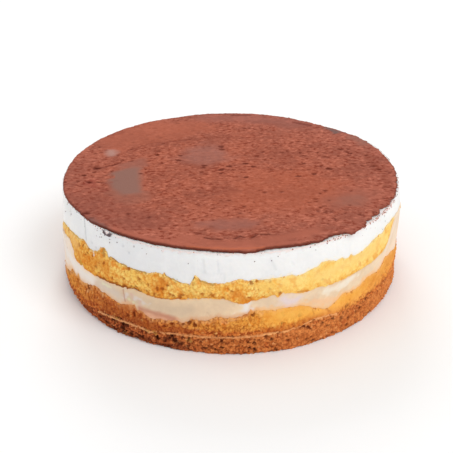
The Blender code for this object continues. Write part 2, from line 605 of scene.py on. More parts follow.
@dataclass(frozen=True)
class Scatter(Treatment):
    """Rough little lumps strewn over a surface, by the share that each of its points carries.

    The density is for a square metre, and the width in millimetres is that of the widest lumps. The
    narrowest have the least share of it.
    """

    density: float = 1000.0
    width: float = 1.0
    least: float = 0.35
    seed: float = 1.0

    TREE = "scatter"
    STRETCH = ((0.7, 0.7, 0.5), (1.3, 1.3, 1.0))
    ROUGH_SIZE = 0.6
    ROUGH_REACH = 0.7

    @classmethod
    def make_tree(cls) -> None:
        """Builds the tree."""
        tree = cls.start_tree()
        size = tree.sizes
        points = tree.output("GeometryNodeDistributePointsOnFaces", {
            "Mesh": tree.mesh, "Density": tree.attribute("strewn") * size.density,
            "Seed": size.seed})
        lump = tree.output("GeometryNodeMeshIcoSphere",
                           {"Radius": size.width * (MM / 2), "Subdivisions": 1})
        turn = tree.random("FLOAT_VECTOR", (0.0,) * 3, (math.tau,) * 3, 7)
        grow = tree.random("FLOAT", size.least, 1.0, 8)
        stretch = tree.random("FLOAT_VECTOR", *cls.STRETCH, 9)
        strewn = tree.output("GeometryNodeInstanceOnPoints", {
            "Points": points, "Instance": lump, "Rotation": turn,
            "Scale": tree.scaled(stretch, grow)})
        push = tree.push(tree.place, size.width * cls.ROUGH_SIZE, size.seed)
        offset = tree.scaled(push, size.width * (cls.ROUGH_REACH * MM))
        tree.end(tree.moved(tree.realized(strewn), offset))


# ---------------------------------------------------------------------------------- meshes


def new_object(name: str, mesh: Mesh) -> Object:
    """Puts a mesh into the scene as an object at the origin."""
    item = bpy.data.objects.new(name, mesh)
    bpy.context.scene.collection.objects.link(item)
    return item


def add_piece(item: Object, replaced: str | None = None) -> None:
    """Gives a piece to the cake.

    Args:
        item: The piece.
        replaced: The frame's node whose place it takes, if any.
    """
    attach(item, BODY)
    if replaced:
        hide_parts(replaced)
    LOG.info("%s: %d faces", item.name, len(item.data.polygons))


def store(mesh: Mesh, name: str, values: np.ndarray) -> None:
    """Stores a number, or four channels, for each point of a mesh."""
    kind, member = ("FLOAT", "value") if values.ndim == 1 else ("FLOAT_COLOR", "color")
    attribute = mesh.attributes.get(name) or mesh.attributes.new(name, kind, "POINT")
    attribute.data.foreach_set(member, values.astype(np.float32).ravel())


def store_run(mesh: Mesh, name: str, values: np.ndarray, start: int,
              elsewhere: float = 0.0) -> None:
    """Stores numbers for a run of a mesh's points, and one number for all its other points."""
    full = np.full((len(mesh.vertices), *values.shape[1:]), elsewhere)
    full[start:start + len(values)] = values
    store(mesh, name, full)


def points_of(mesh: Mesh) -> np.ndarray:
    """The places of a mesh's points."""
    found = np.empty(len(mesh.vertices) * 3, np.float32)
    mesh.vertices.foreach_get("co", found)
    return found.reshape(-1, 3).astype(float)


def ring_points(angles: np.ndarray, radius: np.ndarray | float,
                height: np.ndarray | float) -> np.ndarray:
    """Points at angles, radii and heights round the axis, in metres."""
    turn = np.radians(angles)
    sides = radius * np.sin(turn), -radius * np.cos(turn)
    return np.stack((*sides, np.broadcast_to(height, turn.shape)), 1)


def pole(height: float) -> np.ndarray:
    """The single point that closes a turned surface on its axis."""
    return np.array([[0.0, 0.0, height]])


def even(total: int) -> np.ndarray:
    """Angles that stand evenly round the cake from the front."""
    return np.arange(total) / total * 360


def disc(angles: np.ndarray, edge: np.ndarray, height: float,
         total: int) -> list[tuple[np.ndarray, float]]:
    """Lays out a fine level disc inside an edge.

    Args:
        angles: The edge's angles.
        edge: The edge's radius at each angle, in metres.
        height: The disc's height, in metres.
        total: The number of rings, with the single point in the middle and without the edge.

    Returns:
        The rings from the middle out, each with its share of the way to the edge.
    """
    rings = []
    for number in range(total):
        turned = even(max(1, number * RING_STEP))
        share = number / total
        radius = np.interp(turned, angles, edge, period=360) * share
        rings.append((ring_points(turned, radius, height), share))
    return rings


class Zone(Enum):
    """The three stretches of a turned surface."""

    UNDER = 0
    SIDE = 1
    OVER = 2


@dataclass(frozen=True)
class Sheet:
    """How a turned surface is laid out on the unit square: strips of its side below, ends above."""

    strips: int = 6
    ends_height: float = 1 / 7
    over_width: float = 0.5
    margin: float = 0.08
    disc_radius: float = 0.48

    def lay(self, turns: np.ndarray, levels: np.ndarray, zones: np.ndarray) -> np.ndarray:
        """Finds each corner's place.

        Args:
            turns: The corners' turns round the axis, three for each face.
            levels: Their places in their zones.
            zones: The faces' zones.

        Returns:
            Two numbers for each corner.
        """
        strip = np.minimum(np.floor(turns.min(1) * self.strips), self.strips - 1)[:, None]
        across = (turns * self.strips - strip).clip(0, 1)
        inner = self.margin + (1 - 2 * self.margin) * levels
        side = np.stack((across, (strip + inner) / self.strips * (1 - self.ends_height)), -1)
        over = (zones == Zone.OVER.value)[:, None]
        width = np.where(over, self.over_width, 1 - self.over_width)
        left = np.where(over, 1 - self.over_width, 0.0)
        turn = turns * math.tau
        reach = self.disc_radius * levels
        x = left + width * (0.5 + reach * np.sin(turn))
        y = 1 - self.ends_height * (0.5 + reach * np.cos(turn))
        return np.where((zones == Zone.SIDE.value)[:, None, None], side, np.stack((x, y), -1))


class Turning:
    """A closed surface made of rings from the pole below, up the side, to the pole above."""

    def __init__(self) -> None:
        """Starts with no ring."""
        self.points: list[np.ndarray] = []
        self.turns: list[np.ndarray] = []
        self.levels: list[np.ndarray] = []
        self.faces: list[np.ndarray] = []
        self.zones: list[np.ndarray] = []
        self.count = 0
        self.last = (0, 0)

    def ring(self, points: np.ndarray, level: float, zone: Zone) -> None:
        """Adds the next ring and stitches it to the last one.

        Args:
            points: The ring's points, evenly round the axis from angle 0. A single point is a pole.
            level: The ring's place in its zone, from 0 to 1.
            zone: The zone of the faces that end at this ring.
        """
        total = len(points)
        self.points.append(points)
        self.turns.append(np.arange(total) / total)
        self.levels.append(np.full(total, level))
        if self.count:
            faces = self.stitch(*self.last, self.count, total)
            self.faces.append(faces)
            self.zones.append(np.full(len(faces), zone.value))
        self.last = (self.count, total)
        self.count += total

    @staticmethod
    def stitch(low: int, low_total: int, high: int, high_total: int) -> np.ndarray:
        """Joins two rings that may differ in their number of points.

        Args:
            low: The first ring's first point.
            low_total: Its number of points.
            high: The second ring's first point.
            high_total: Its number of points.

        Returns:
            Triangles, three points a row.
        """
        below = np.arange(low_total)
        meets = np.floor((below + 0.5) / low_total * high_total + 0.5).astype(int)
        above = np.arange(high_total)
        holds = np.searchsorted(meets, above + 1)
        up = np.stack((low + below, low + (below + 1) % low_total, high + meets % high_total), 1)
        down = np.stack((high + (above + 1) % high_total, high + above, low + holds % low_total), 1)
        parts = [part for part, total in ((up, low_total), (down, high_total)) if total > 1]
        return np.concatenate(parts)

    def mesh(self, name: str, sheet: Sheet) -> Mesh:
        """Makes the mesh with its map."""
        faces = np.concatenate(self.faces)
        mesh = bpy.data.meshes.new(name)
        mesh.from_pydata(np.concatenate(self.points).tolist(), [], faces.tolist())
        turns = np.concatenate(self.turns)[faces]
        # A face across angle 0 has corners at both ends of the turn, so the early ones move on.
        across = (np.ptp(turns, axis=1) > 0.5)[:, None]
        turns = turns + (across & (turns < 0.5))
        places = sheet.lay(turns, np.concatenate(self.levels)[faces], np.concatenate(self.zones))
        layer = mesh.uv_layers.new(name=BAKE_MAP)
        layer.data.foreach_set("uv", places.astype(np.float32).ravel())
        return mesh


class FrameLayer:
    """The rings of points that a node of the frame has round its side."""

    def __init__(self, node: str) -> None:
        """Reads a node's rings: for each column, the heights and radii of its points."""
        place = points_of(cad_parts[node].data)
        radius = np.hypot(place[:, 0], place[:, 1])
        place, radius = place[radius > MIDDLE_RADIUS], radius[radius > MIDDLE_RADIUS]
        column = np.rint(angles_of(place) / 360 * FRAME_COLUMNS).astype(int) % FRAME_COLUMNS
        rings = []
        for number in range(FRAME_COLUMNS):
            mine = column == number
            heights, first = np.unique(place[mine, 2].round(6), return_index=True)
            rings.append(np.stack((heights, radius[mine][first]), 1))
        self.rings = np.array(rings)
        heights = self.rings[:, :, 0]
        spans = heights[:, -1:] - heights[:, :1]
        self.shares = ((heights - heights[:, :1]) / spans).mean(0)

    def rim(self, ring: int, angles: np.ndarray) -> np.ndarray:
        """The height of a ring at each angle, in metres."""
        return around(self.rings[:, ring, 0], angles)

    def radius(self, share: float, angles: np.ndarray) -> np.ndarray:
        """The side's radius at a share of the layer's height, in metres."""
        place = np.interp(share, self.shares, np.arange(len(self.shares)))
        low = min(int(place), len(self.shares) - 2)
        first = around(self.rings[:, low, 1], angles)
        second = around(self.rings[:, low + 1, 1], angles)
        return first + (place - low) * (second - first)


# ---------------------------------------------------------------------------------- features


@dataclass(frozen=True)
class Seam:
    """How a seam departs from the frame's smooth one, in millimetres.

    A tear is a narrow rise or dip: its angle, its rise, and its half width in degrees.
    """

    fray: float
    seed: int
    tears: tuple[tuple[float, float, float], ...] = ()
    lift: float = 0.0

    FINE = ((240, 0.8), (420, 0.9), (800, 0.5), (1300, 0.3))
    UNSEEN = ((48, 3.0), (130, 2.6), (300, 1.5))
    UNSEEN_SEED = 50
    UNSEEN_FROM = 80
    UNSEEN_OVER = 14

    def offset(self, angles: np.ndarray) -> np.ndarray:
        """The seam's departure at each angle."""
        line = wander(angles, self.seed, self.FINE) * self.fray + self.lift
        behind = ease((np.abs(off_front(angles)) - self.UNSEEN_FROM) / self.UNSEEN_OVER)
        line += wander(angles, self.seed + self.UNSEEN_SEED, self.UNSEEN) * behind * self.fray
        for angle, rise, half_width in self.tears:
            away = off_front(angles - angle) / half_width
            line += rise * np.exp(-away * away)
        return line


class Anchor(Enum):
    """What a mark's height is measured from: the floor, or its layer's head or foot."""

    FLOOR = 0
    HEAD = 1
    FOOT = 2


@dataclass(frozen=True)
class Mark:
    """A placed stroke or spot, soft at its edge.

    On a side its path is of angles in degrees and heights in millimetres, and on the cake's top of
    places along X and Y in millimetres. A path of one point is a spot, and a filled path is an
    outline whose inside belongs to the mark.
    """

    path: Path
    half_width: float
    colour: Colour | None = None
    strength: float = 1.0
    shade: float = 0.0
    rise: float = 0.0
    calm: float = 0.0
    soft: float = 1.0
    ragged: float = 0.3
    filled: bool = False
    stretch: float = 1.0
    anchor: Anchor = Anchor.FLOOR

    # The size of the edge's ripples: a share of the half width, and what is added to it.
    RIPPLE_SHARE = 1.4
    RIPPLE_LEAST = 1.0

    def weight(self, place: np.ndarray, unit: float) -> np.ndarray:
        """How much of the mark each place has.

        Args:
            place: For each point, its place across and up, in millimetres.
            unit: The millimetres of one unit of the path's first number.

        Returns:
            A share from 0 to 1 for each point.
        """
        path = np.array(self.path) * (unit, 1)
        squeeze = np.array((1 / self.stretch, 1))
        place, path = place * squeeze, path * squeeze
        best = np.full(len(place), np.inf)
        for start, stop in zip(path, path[1:] if len(path) > 1 else path):
            run = stop - start
            along = ((place - start) @ run / max(run @ run, 1e-9)).clip(0, 1)
            away = place - start - along[:, None] * run
            best = np.minimum(best, np.hypot(away[:, 0], away[:, 1]))
        if self.filled:
            best[inside(place, path)] = 0.0
        near = best < self.half_width * 2
        size = self.half_width * self.RIPPLE_SHARE + self.RIPPLE_LEAST
        best[near] *= 1 + self.ragged * ripple(place[near], size)
        return ease((1 - best / self.half_width) / self.soft)


class Surface:
    """The numbers that a layer's points carry while its marks are laid on."""

    STORED = ("stain", "relief", "open", "shade")

    def __init__(self, total: int, relief: float = 1.0, shade: float = 0.0) -> None:
        """Starts a plain surface of that many points."""
        self.stain = np.zeros((total, 4))
        self.rise = np.zeros(total)
        self.relief = np.full(total, relief)
        self.open = np.ones(total)
        self.shade = np.full(total, shade)

    def lay(self, mark: Mark, weight: np.ndarray) -> None:
        """Lays a mark on the surface."""
        self.rise += mark.rise * weight
        self.shade += mark.shade * weight
        self.relief *= 1 - mark.calm * weight
        self.open *= 1 - mark.calm * weight
        if mark.colour is None:
            return
        colour = np.array(linear(mark.colour)[:3])
        added = mark.strength * weight
        kept = self.stain[:, 3] * (1 - added)
        total = np.maximum(added + kept, 1e-6)
        mixed = added[:, None] * colour + kept[:, None] * self.stain[:, :3]
        self.stain[:, :3] = mixed / total[:, None]
        self.stain[:, 3] = added + kept

    def follow(self, other: "Surface") -> None:
        """Puts another surface's stored numbers before its own."""
        for name in self.STORED:
            setattr(self, name, np.concatenate((getattr(other, name), getattr(self, name))))

    def carry(self, mesh: Mesh, start: int) -> None:
        """Stores the numbers on a mesh from a point on, and none on its other points."""
        for name in self.STORED:
            store_run(mesh, name, getattr(self, name), start)


# ---------------------------------------------------------------------------------- finishes


class Shader(Wires):
    """The nodes of one material."""

    def __init__(self, name: str) -> None:
        """Starts a material with no nodes."""
        self.material = bpy.data.materials.new(name)
        self.material.use_nodes = True
        super().__init__(self.material.node_tree)
        self.tree.nodes.clear()
        self.place = self.node("ShaderNodeTexCoord").outputs["Object"]

    def attribute(self, name: str) -> Value:
        """Reads a number that the mesh carries."""
        return Value(self, self.output("ShaderNodeAttribute", None, 2, attribute_name=name))

    def stain(self, colour: object, ragged: float = 0.5, size: float = 2.0) -> object:
        """Lays the mesh's stains over a colour, with ragged edges.

        Args:
            colour: The colour below.
            ragged: How far the stains' edges stray.
            size: The size of the edges' raggedness, in millimetres.

        Returns:
            The stained colour.
        """
        node = self.node("ShaderNodeAttribute", attribute_name="stain")
        amount = Value(self, node.outputs[3])
        noise = self.noise(self.place, size, seed=4.0, detail=3.0)
        edge = (noise - 0.5) * (ragged * 4) * amount * (1 - amount)
        return self.mix(amount + edge, colour, node.outputs[0])

    def tones(self, first: "Tones", second: "Tones", tone: Value) -> object:
        """Mixes two pairs of shades by the tone and by the shade that the mesh carries."""
        shade = self.attribute("shade")
        light = self.mix(shade, linear(first.light), linear(second.light))
        deep = self.mix(shade, linear(first.deep), linear(second.deep))
        return self.mix(tone, deep, light)

    def finish(self, colour: object, roughness: Number, height: Value | None = None,
               distance: float = 0.3, specular: float = 0.5, **soft: object) -> Material:
        """Ends the material.

        Args:
            colour: Its base colour.
            roughness: Its roughness.
            height: A bump's height, from 0 to 1.
            distance: The bump's depth, in millimetres.
            specular: How strongly its surface mirrors light.
            soft: How far and in which colours light goes into it.

        Returns:
            The material.
        """
        sockets = {"Base Color": colour, "Roughness": roughness, "Specular IOR Level": specular}
        sockets |= {f"Subsurface {name.capitalize()}": value for name, value in soft.items()}
        if height is not None:
            bump = {"Height": height, "Distance": distance * MM, "Strength": 1.0}
            sockets["Normal"] = self.output("ShaderNodeBump", bump)
        shader = self.output("ShaderNodeBsdfPrincipled", sockets)
        self.node("ShaderNodeOutputMaterial", {0: shader})
        return self.material


@dataclass(frozen=True)
class Tones:
    """A light and a deep shade."""

    light: Colour
    deep: Colour


@dataclass(frozen=True)
class SpongeFinish:
    """Baked sponge or crumb: two pairs of shades, its flecks and glints, and painted shade in its
    gaps and pores.
    """

    name: str
    first: Tones
    second: Tones
    fleck: Colour
    glint: Colour
    # The gap colour is painted shade between the crumbs, and the pore colour is painted shade in
    # the pores.
    gap: Colour
    pore: Colour
    gap_strength: float
    pore_strength: float
    fleck_share: float = 0.3
    glint_share: float = 0.3

    def build(self) -> Material:
        """Makes the material."""
        shader = Shader(self.name)
        place = shader.place
        broad = shader.noise(place, size=13.0, seed=1.0)
        fine = shader.noise(place, size=1.1, seed=2.0, detail=3.0)
        spots = shader.noise(place, size=5.0, seed=3.0, detail=2.5)
        glints = shader.noise(place, size=2.6, seed=7.0)
        mottle = shader.noise(place, size=4.5, seed=9.0)
        heap = shader.attribute("heap")
        busy = shader.attribute("open")
        # Glints and the painted shade between crumbs grow stronger with the shade that the mesh
        # carries.
        grain = shader.attribute("shade").lifted(0.45) * busy.lifted(0.3)
        grit = (fine - 0.5) * 0.4 + (shader.attribute("tone") - 0.5) * 0.3 + (heap - 0.5) * 0.2
        tone = broad * 0.3 + mottle * 0.3 + grit * busy.lifted(0.2) + 0.45
        colour = shader.tones(self.first, self.second, shader.step(tone, 0.52, 0.96))
        edge = 0.64 - 0.3 * self.fleck_share
        fleck = shader.step(spots, edge, edge + 0.14) * 0.7 * busy.lifted(0.4)
        colour = shader.mix(fleck, colour, linear(self.fleck))
        edge = 0.68 - 0.3 * self.glint_share
        glint = shader.step(glints * 0.8 + heap * 0.2, edge, edge + 0.12) * 0.6
        colour = shader.mix(glint * grain, colour, linear(self.glint))
        colour = shader.stain(colour)
        # Painted shade between the crumbs, where their heaps are low, and in the pores.
        gap = 1 - shader.step(heap + (fine - 0.5) * 1.1, 0.05, 0.45)
        gap = gap * self.gap_strength * busy
        colour = shader.mix(gap * grain, colour, linear(self.gap))
        pore = shader.attribute("pore") * self.pore_strength
        colour = shader.mix(pore, colour, linear(self.pore))
        tiny = shader.noise(place, size=0.7, seed=8.0, detail=3.0)
        return shader.finish(colour, 0.92, height=tiny, distance=0.35, specular=0.2)


@dataclass(frozen=True)
class CreamFinish:
    """Whipped cream or filling: two pairs of tints and its specks."""

    name: str
    first: Tones
    second: Tones
    speck: Colour
    roughness: float
    speck_strength: float = 0.0

    def build(self) -> Material:
        """Makes the material."""
        shader = Shader(self.name)
        place = shader.place
        broad = shader.noise(place, size=16.0, seed=1.0)
        fine = shader.noise(place, size=2.4, seed=2.0, detail=3.0)
        tone = shader.step(broad * 0.8 + fine * 0.35, 0.4, 0.75)
        colour = shader.tones(self.first, self.second, tone)
        colour = shader.stain(colour, ragged=0.3, size=2.6)
        distance, chance = shader.cells(place, size=4.2, seed=5.0)
        dot = shader.step(0.1 - distance, -0.03, 0.03) * shader.step(chance, 0.88, 0.94)
        colour = shader.mix(dot * self.speck_strength, colour, linear(self.speck))
        rough = self.roughness + (fine - 0.5) * 0.3
        return shader.finish(colour, rough, height=fine, distance=0.12, specular=0.35,
                             weight=0.12, radius=(1.0, 0.8, 0.6), scale=0.003)


@dataclass(frozen=True)
class CocoaFinish:
    """Sifted cocoa: two pairs of shades, a painted highlight on its ridges, and painted shade in
    its hollows and pits and on its edge.
    """

    name: str = "cocoa"
    first: Tones = Tones((174, 94, 70), (155, 83, 63))
    second: Tones = Tones((167, 98, 83), (151, 89, 75))
    # The ridge colour is a painted highlight on the relief's tops. The hollow, pit and edge colours
    # are painted shade in its hollows, in its nicks and pits, and on the wall of its edge.
    ridge: Colour = (208, 126, 102)
    hollow: Colour = (124, 44, 24)
    pit: Colour = (92, 27, 12)
    edge: Colour = (96, 44, 34)

    def build(self) -> Material:
        """Makes the material."""
        shader = Shader(self.name)
        place = shader.place
        broad = shader.noise(place, size=30.0, seed=1.0, detail=3.0)
        middle = shader.noise(place, size=7.0, seed=5.0, detail=3.0)
        wide = shader.vector("MULTIPLY", place, Powder.WIDEN)
        bent = shader.bend(wide, size=2.6, reach=2.4, seed=6.0)
        fine = shader.noise(bent, size=2.0, seed=2.0, detail=2.5)
        heap = shader.attribute("heap")
        crowd = shader.step(broad * 0.6 + middle * 0.4, 0.3, 0.52)
        rough = shader.attribute("relief") * crowd.lifted(0.4)
        tone = shader.step(broad * 0.5 + middle * 0.5, 0.38, 0.62)
        colour = shader.tones(self.first, self.second, tone)
        # Painted shade in the hollows and a painted highlight on the ridges.
        hollow = 1 - shader.step(heap * 0.15 + fine, 0.4, 0.53)
        colour = shader.mix(hollow * rough * 0.74, colour, linear(self.hollow))
        ridge = shader.step(heap * 0.15 + fine, 0.6, 0.74)
        colour = shader.mix(ridge * rough * 0.55, colour, linear(self.ridge))
        colour = shader.stain(colour, ragged=0.35, size=2.4)
        # Painted shade in the nicks and pits, and on the wall of the edge.
        colour = shader.mix(shader.attribute("pore") * 0.85, colour, linear(self.pit))
        colour = shader.mix(shader.attribute("wall"), colour, linear(self.edge))
        tiny = shader.noise(place, size=0.8, seed=8.0, detail=3.0)
        return shader.finish(colour, 0.95, height=tiny, distance=0.3, specular=0.15)


@dataclass(frozen=True)
class BitFinish:
    """Loose crumbs or grains."""

    name: str
    tones: Tones

    def build(self) -> Material:
        """Makes the material."""
        shader = Shader(self.name)
        tone = shader.noise(shader.place, size=2.0, seed=1.0)
        colour = shader.mix(shader.step(tone, 0.35, 0.65), linear(self.tones.deep),
                            linear(self.tones.light))
        tiny = shader.noise(shader.place, size=0.5, seed=8.0)
        return shader.finish(colour, 0.93, height=tiny, distance=0.2, specular=0.2)


# ---------------------------------------------------------------------------------- layers


CREAM_SEAM = Seam(fray=0.38, seed=11, tears=(
    (-84, -11, 10), (87, -5, 9), (-55, -1.2, 1.4), (-49.6, -0.7, 1), (-44.2, -0.9, 0.8),
    (-40.9, 0.8, 0.6), (-39.2, -2.2, 0.6), (-19.1, 1.8, 0.35), (-11.6, -2.2, 0.7),
    (-9.9, 1.4, 0.45), (-8.3, -1.7, 0.6), (3.7, 0.4, 0.3), (16, 0.8, 3.5), (26.2, -1.3, 0.9),
    (34.4, 1.4, 1), (38.3, 1.7, 0.7), (48.1, 0.6, 0.8), (54.6, -1.9, 1.6)))
FILLING_SEAM = Seam(fray=0.3, seed=12, tears=(
    (-82, -11.5, 15), (72, 1.6, 4), (92, 4, 6), (-57.7, -0.8, 0.8), (-52.7, 2, 0.6),
    (-51, -0.8, 0.7), (-0.4, 1.5, 1.5), (13.9, -2.2, 0.7), (15.4, 0.9, 0.3), (27, 1.1, 2),
    (47.5, -1.4, 5), (60, -4, 2.4)))
LOWER_SEAM = Seam(fray=0.34, seed=13, tears=(
    (-86, -7, 10), (-73.6, 1.7, 2), (-65.6, -2, 2.6), (-56.6, 3.2, 0.7), (-42.8, -1.3, 1),
    (-29.6, 0.9, 0.4), (-28.6, -1.8, 0.6), (-25, -0.8, 1.5), (-20.9, 0.9, 1.2), (-13.7, -2, 1.3),
    (-11.3, 1.1, 0.6), (-3.4, 1.6, 2.4), (5.9, 1.5, 0.6), (13.1, -1.9, 0.7), (34.6, 0.5, 0.6),
    (52.6, 0.6, 2), (58.4, 4, 2.6), (64, 1.6, 2.6)))
BASE_SEAM = Seam(fray=0.36, seed=14, tears=(
    (-53.5, -1.1, 2), (-42, 0.6, 1.4), (-27.8, -0.9, 0.8), (-19.5, -0.8, 1), (23.8, 0.5, 0.7),
    (30, 1.5, 5)))
COCOA_SEAM = Seam(fray=0.12, seed=15, lift=1.1)

OLIVE = (170, 132, 62)
# Painted shade for the holes in the crumb base.
HOLE_SHADE = (60, 20, 8)


def spots(places: Path, *look: object, **sizes: float) -> tuple[Mark, ...]:
    """Spots of one kind at several places."""
    return tuple(Mark((place,), *look, **sizes) for place in places)


def at_head(start: float, stop: float, *look: object, level: float = 0.0, **sizes: float) -> Mark:
    """A stroke along its layer's head, from one angle to another."""
    return Mark(((start, level), (stop, level)), *look, **sizes, anchor=Anchor.HEAD)


def at_foot(start: float, stop: float, *look: object, level: float = 0.0, **sizes: float) -> Mark:
    """A stroke along its layer's foot, from one angle to another."""
    return Mark(((start, level), (stop, level)), *look, **sizes, anchor=Anchor.FOOT)


BASE_MARKS = (
    # The ledge along the base's top: raised, with a painted highlight on its lit edge.
    Mark(((-44.5, 8.4), (-39.7, 9.2), (-35.4, 9.8), (-31.5, 10.2), (-27.1, 9.9), (-23.4, 9.3)), 1.2,
         (234, 168, 112), 0.85, rise=0.6, calm=0.85, soft=0.7),
    Mark(((-21, 10.4), (-14.7, 11.7), (-8.7, 12.3), (0, 12.3), (11.8, 13.1)), 1.0, (232, 162, 104),
         0.8, rise=0.35, calm=0.6, soft=0.7),
    at_head(10, 34, 1.3, (246, 176, 110), 0.95, rise=0.4, calm=0.7, level=-0.6),
    *spots(((-25.4, 10.3), (-22.7, 9.2), (-33.9, 2.4), (-36.6, 10.4), (-12.0, 9.0)), 2.1,
           (178, 136, 62), 0.6, rise=0.3, ragged=0.6, soft=0.7),
    # Holes and a crack: sunk, with painted shade in them.
    *spots(((-38.4, 7.4), (-44.6, 4.6), (-28.4, 3.8), (-22.2, 6.2), (-18.3, 7.2), (-16.4, 6.0),
            (-33.5, 7.4)), 2.3, HOLE_SHADE, 0.85, rise=-1.1, ragged=0.5),
    *spots(((-14.8, 5.2), (-19.8, 5.0), (-31.5, 2.4), (-12.6, 3.6), (-41.5, 3.4)), 2.0, HOLE_SHADE, 0.8,
           rise=-1.0, ragged=0.5),
    *spots(((10.6, 11.6), (-34.0, 6.0), (-5.2, 4.8), (2.4, 6.6), (17.5, 6.2), (-8.5, 8.0)), 1.6,
           (96, 36, 14), 0.75, rise=-0.7),
    Mark(((22.1, 14.0), (23.3, 13.0), (25.0, 10.7)), 1.2, (96, 30, 12), 0.9, rise=-0.8),
    # A painted shadow along the base's foot on the left.
    Mark(((-40, 1.0), (-28, 2.0), (-14, 1.6)), 3.2, (80, 32, 14), 0.45, shade=0.3),
    Mark(((18, 6), (40, 7), (76, 8)), 13.0, calm=0.35),
    Mark(((50, 5), (62, 6), (76, 7)), 9.0, (216, 132, 66), 0.35),
)
DARK_MARKS = (
    at_head(12, 70, 11.0, calm=0.9, soft=0.9, level=-3),
    Mark(((-90, 20), (-78, 23), (-71, 24)), 9.0, (240, 192, 140), 0.85, calm=0.5),
    at_head(-76, -42, 4.5, (236, 176, 114), 0.7, ragged=0.5),
    at_head(-38, -28, 5.0, (206, 124, 66), 0.6, calm=0.5, ragged=0.5),
    at_head(-36, 8, 3.6, (236, 170, 110), 0.65, ragged=0.5),
    at_head(8, 66, 3.4, (252, 186, 106), 0.6, ragged=0.5),
    Mark(((-36.5, 21.5), (-32.5, 21.0)), 4.0, (196, 112, 52), 0.6, calm=0.5),
    # A hole: sunk, with painted shade in it.
    Mark(((30.2, 22.4), (31.1, 19.0)), 1.2, (150, 70, 26), 0.7, rise=-0.4, ragged=0.5),
    Mark(((25.2, 24.0), (25.7, 20.8)), 0.9, (196, 108, 44), 0.5, ragged=0.5),
    *spots(((40.2, 25.8), (41.6, 27.6), (39.4, 21.2)), 1.1, (186, 96, 36), 0.6, rise=-0.3),
    *spots(((-3.0, 16.6), (3.8, 18.8), (-20.0, 15.0), (-32.0, 15.5), (-41.0, 16.0)), 1.4,
           (146, 64, 22), 0.75, rise=-0.5, soft=0.7),
    Mark(((16, 25), (24, 24)), 6.0, (248, 186, 88), 0.45),
    Mark(((-44, 0.5), (-30, 1), (-14, 1.5)), 5.5, (152, 74, 32), 0.5, ragged=0.6,
         anchor=Anchor.FOOT),
    Mark(((-43, 17.5), (-36, 17), (-26, 15.5)), 7.0, (164, 84, 34), 0.4),
    at_foot(10, 23, 4.5, (206, 112, 44), 0.5, ragged=0.5, level=2),
    Mark(((30, 2.5), (44, 3), (58, 4), (72, 5)), 6.0, (250, 170, 84), 0.45, anchor=Anchor.FOOT),
)
FILLING_MARKS = (
    Mark(((-44, 28), (-34, 29), (-20, 27), (-12, 29)), 7.5, (206, 181, 154), 0.55),
    Mark(((-78, 0.5), (-70, 1.0), (-62, 0.5)), 5.5, (236, 184, 126), 0.85, anchor=Anchor.FOOT),
    at_foot(-62, -36, 3.6, (228, 174, 122), 0.7),
    at_foot(-34, 8, 4.2, (228, 170, 124), 0.8),
    Mark(((-26, 20.4), (-21, 20.6), (-16, 20.4)), 4.4, (230, 164, 130), 0.75),
    Mark(((-46, 27), (-40, 28.5), (-36, 28)), 6.0, (220, 204, 190), 0.6, ragged=0.4),
    Mark(((-42, 30.6), (-38.6, 30.9)), 1.6, (232, 226, 190), 0.7, ragged=0.5),
    *spots(((-32.0, 30.6), (-29.1, 30.0), (-26.4, 28.6)), 3.0, (226, 216, 214), 0.6, ragged=0.6),
    *spots(((-30.4, 31.6), (-27.6, 27.0)), 2.4, (222, 178, 164), 0.6, ragged=0.6),
    # A painted highlight on the filling.
    Mark(((29, 35), (34, 34), (40, 37)), 4.0, (246, 236, 218), 0.75, ragged=0.5),
    at_foot(8, 62, 3.8, (250, 190, 122), 0.8, ragged=0.5),
    at_head(-60, 56, 1.3, (240, 198, 146), 0.6),
    Mark(((-74, 33), (-66, 30), (-58, 28), (-48, 28)), 7.0, (240, 232, 226), 0.75, ragged=0.4),
    Mark(((-33.4, 32.6), (-33.2, 28.7), (-33.0, 25.0)), 0.9, (196, 142, 118), 0.7, rise=-0.2,
         soft=0.7),
    *spots(((-31.2, 27.6), (-29.8, 26.6)), 2.0, (224, 220, 176), 0.75, rise=0.2),
    Mark(((4.8, 35), (4.6, 31.5)), 4.2, (240, 232, 228), 0.85, ragged=0.5),
    Mark(((15.8, 36), (17.4, 33), (19.6, 34)), 5.2, (232, 214, 216), 0.8, ragged=0.5),
    Mark(((-27.6, 23.8), (-24.6, 23.6), (-21.5, 23.1), (-18.9, 22.7), (-16.4, 22.0)), 3.1,
         (192, 122, 94), 0.72, rise=0.15, ragged=0.2),
    Mark(((25.6, 30), (29.4, 27.5), (33, 26.5)), 4.6, (248, 194, 144), 0.65, ragged=0.5),
    Mark(((56, 34), (66, 36), (76, 34)), 6.0, (248, 214, 182), 0.6),
    Mark(((58, 38), (62, 46), (66, 52)), 4.0, (248, 224, 200), 0.6),
    Mark(((72, 30), (74, 44), (76, 54)), 4.0, (248, 208, 172), 0.6),
    Mark(((-66.5, 33.5),), 1.0, (150, 80, 50), 0.8, rise=-0.3, soft=0.7),
)
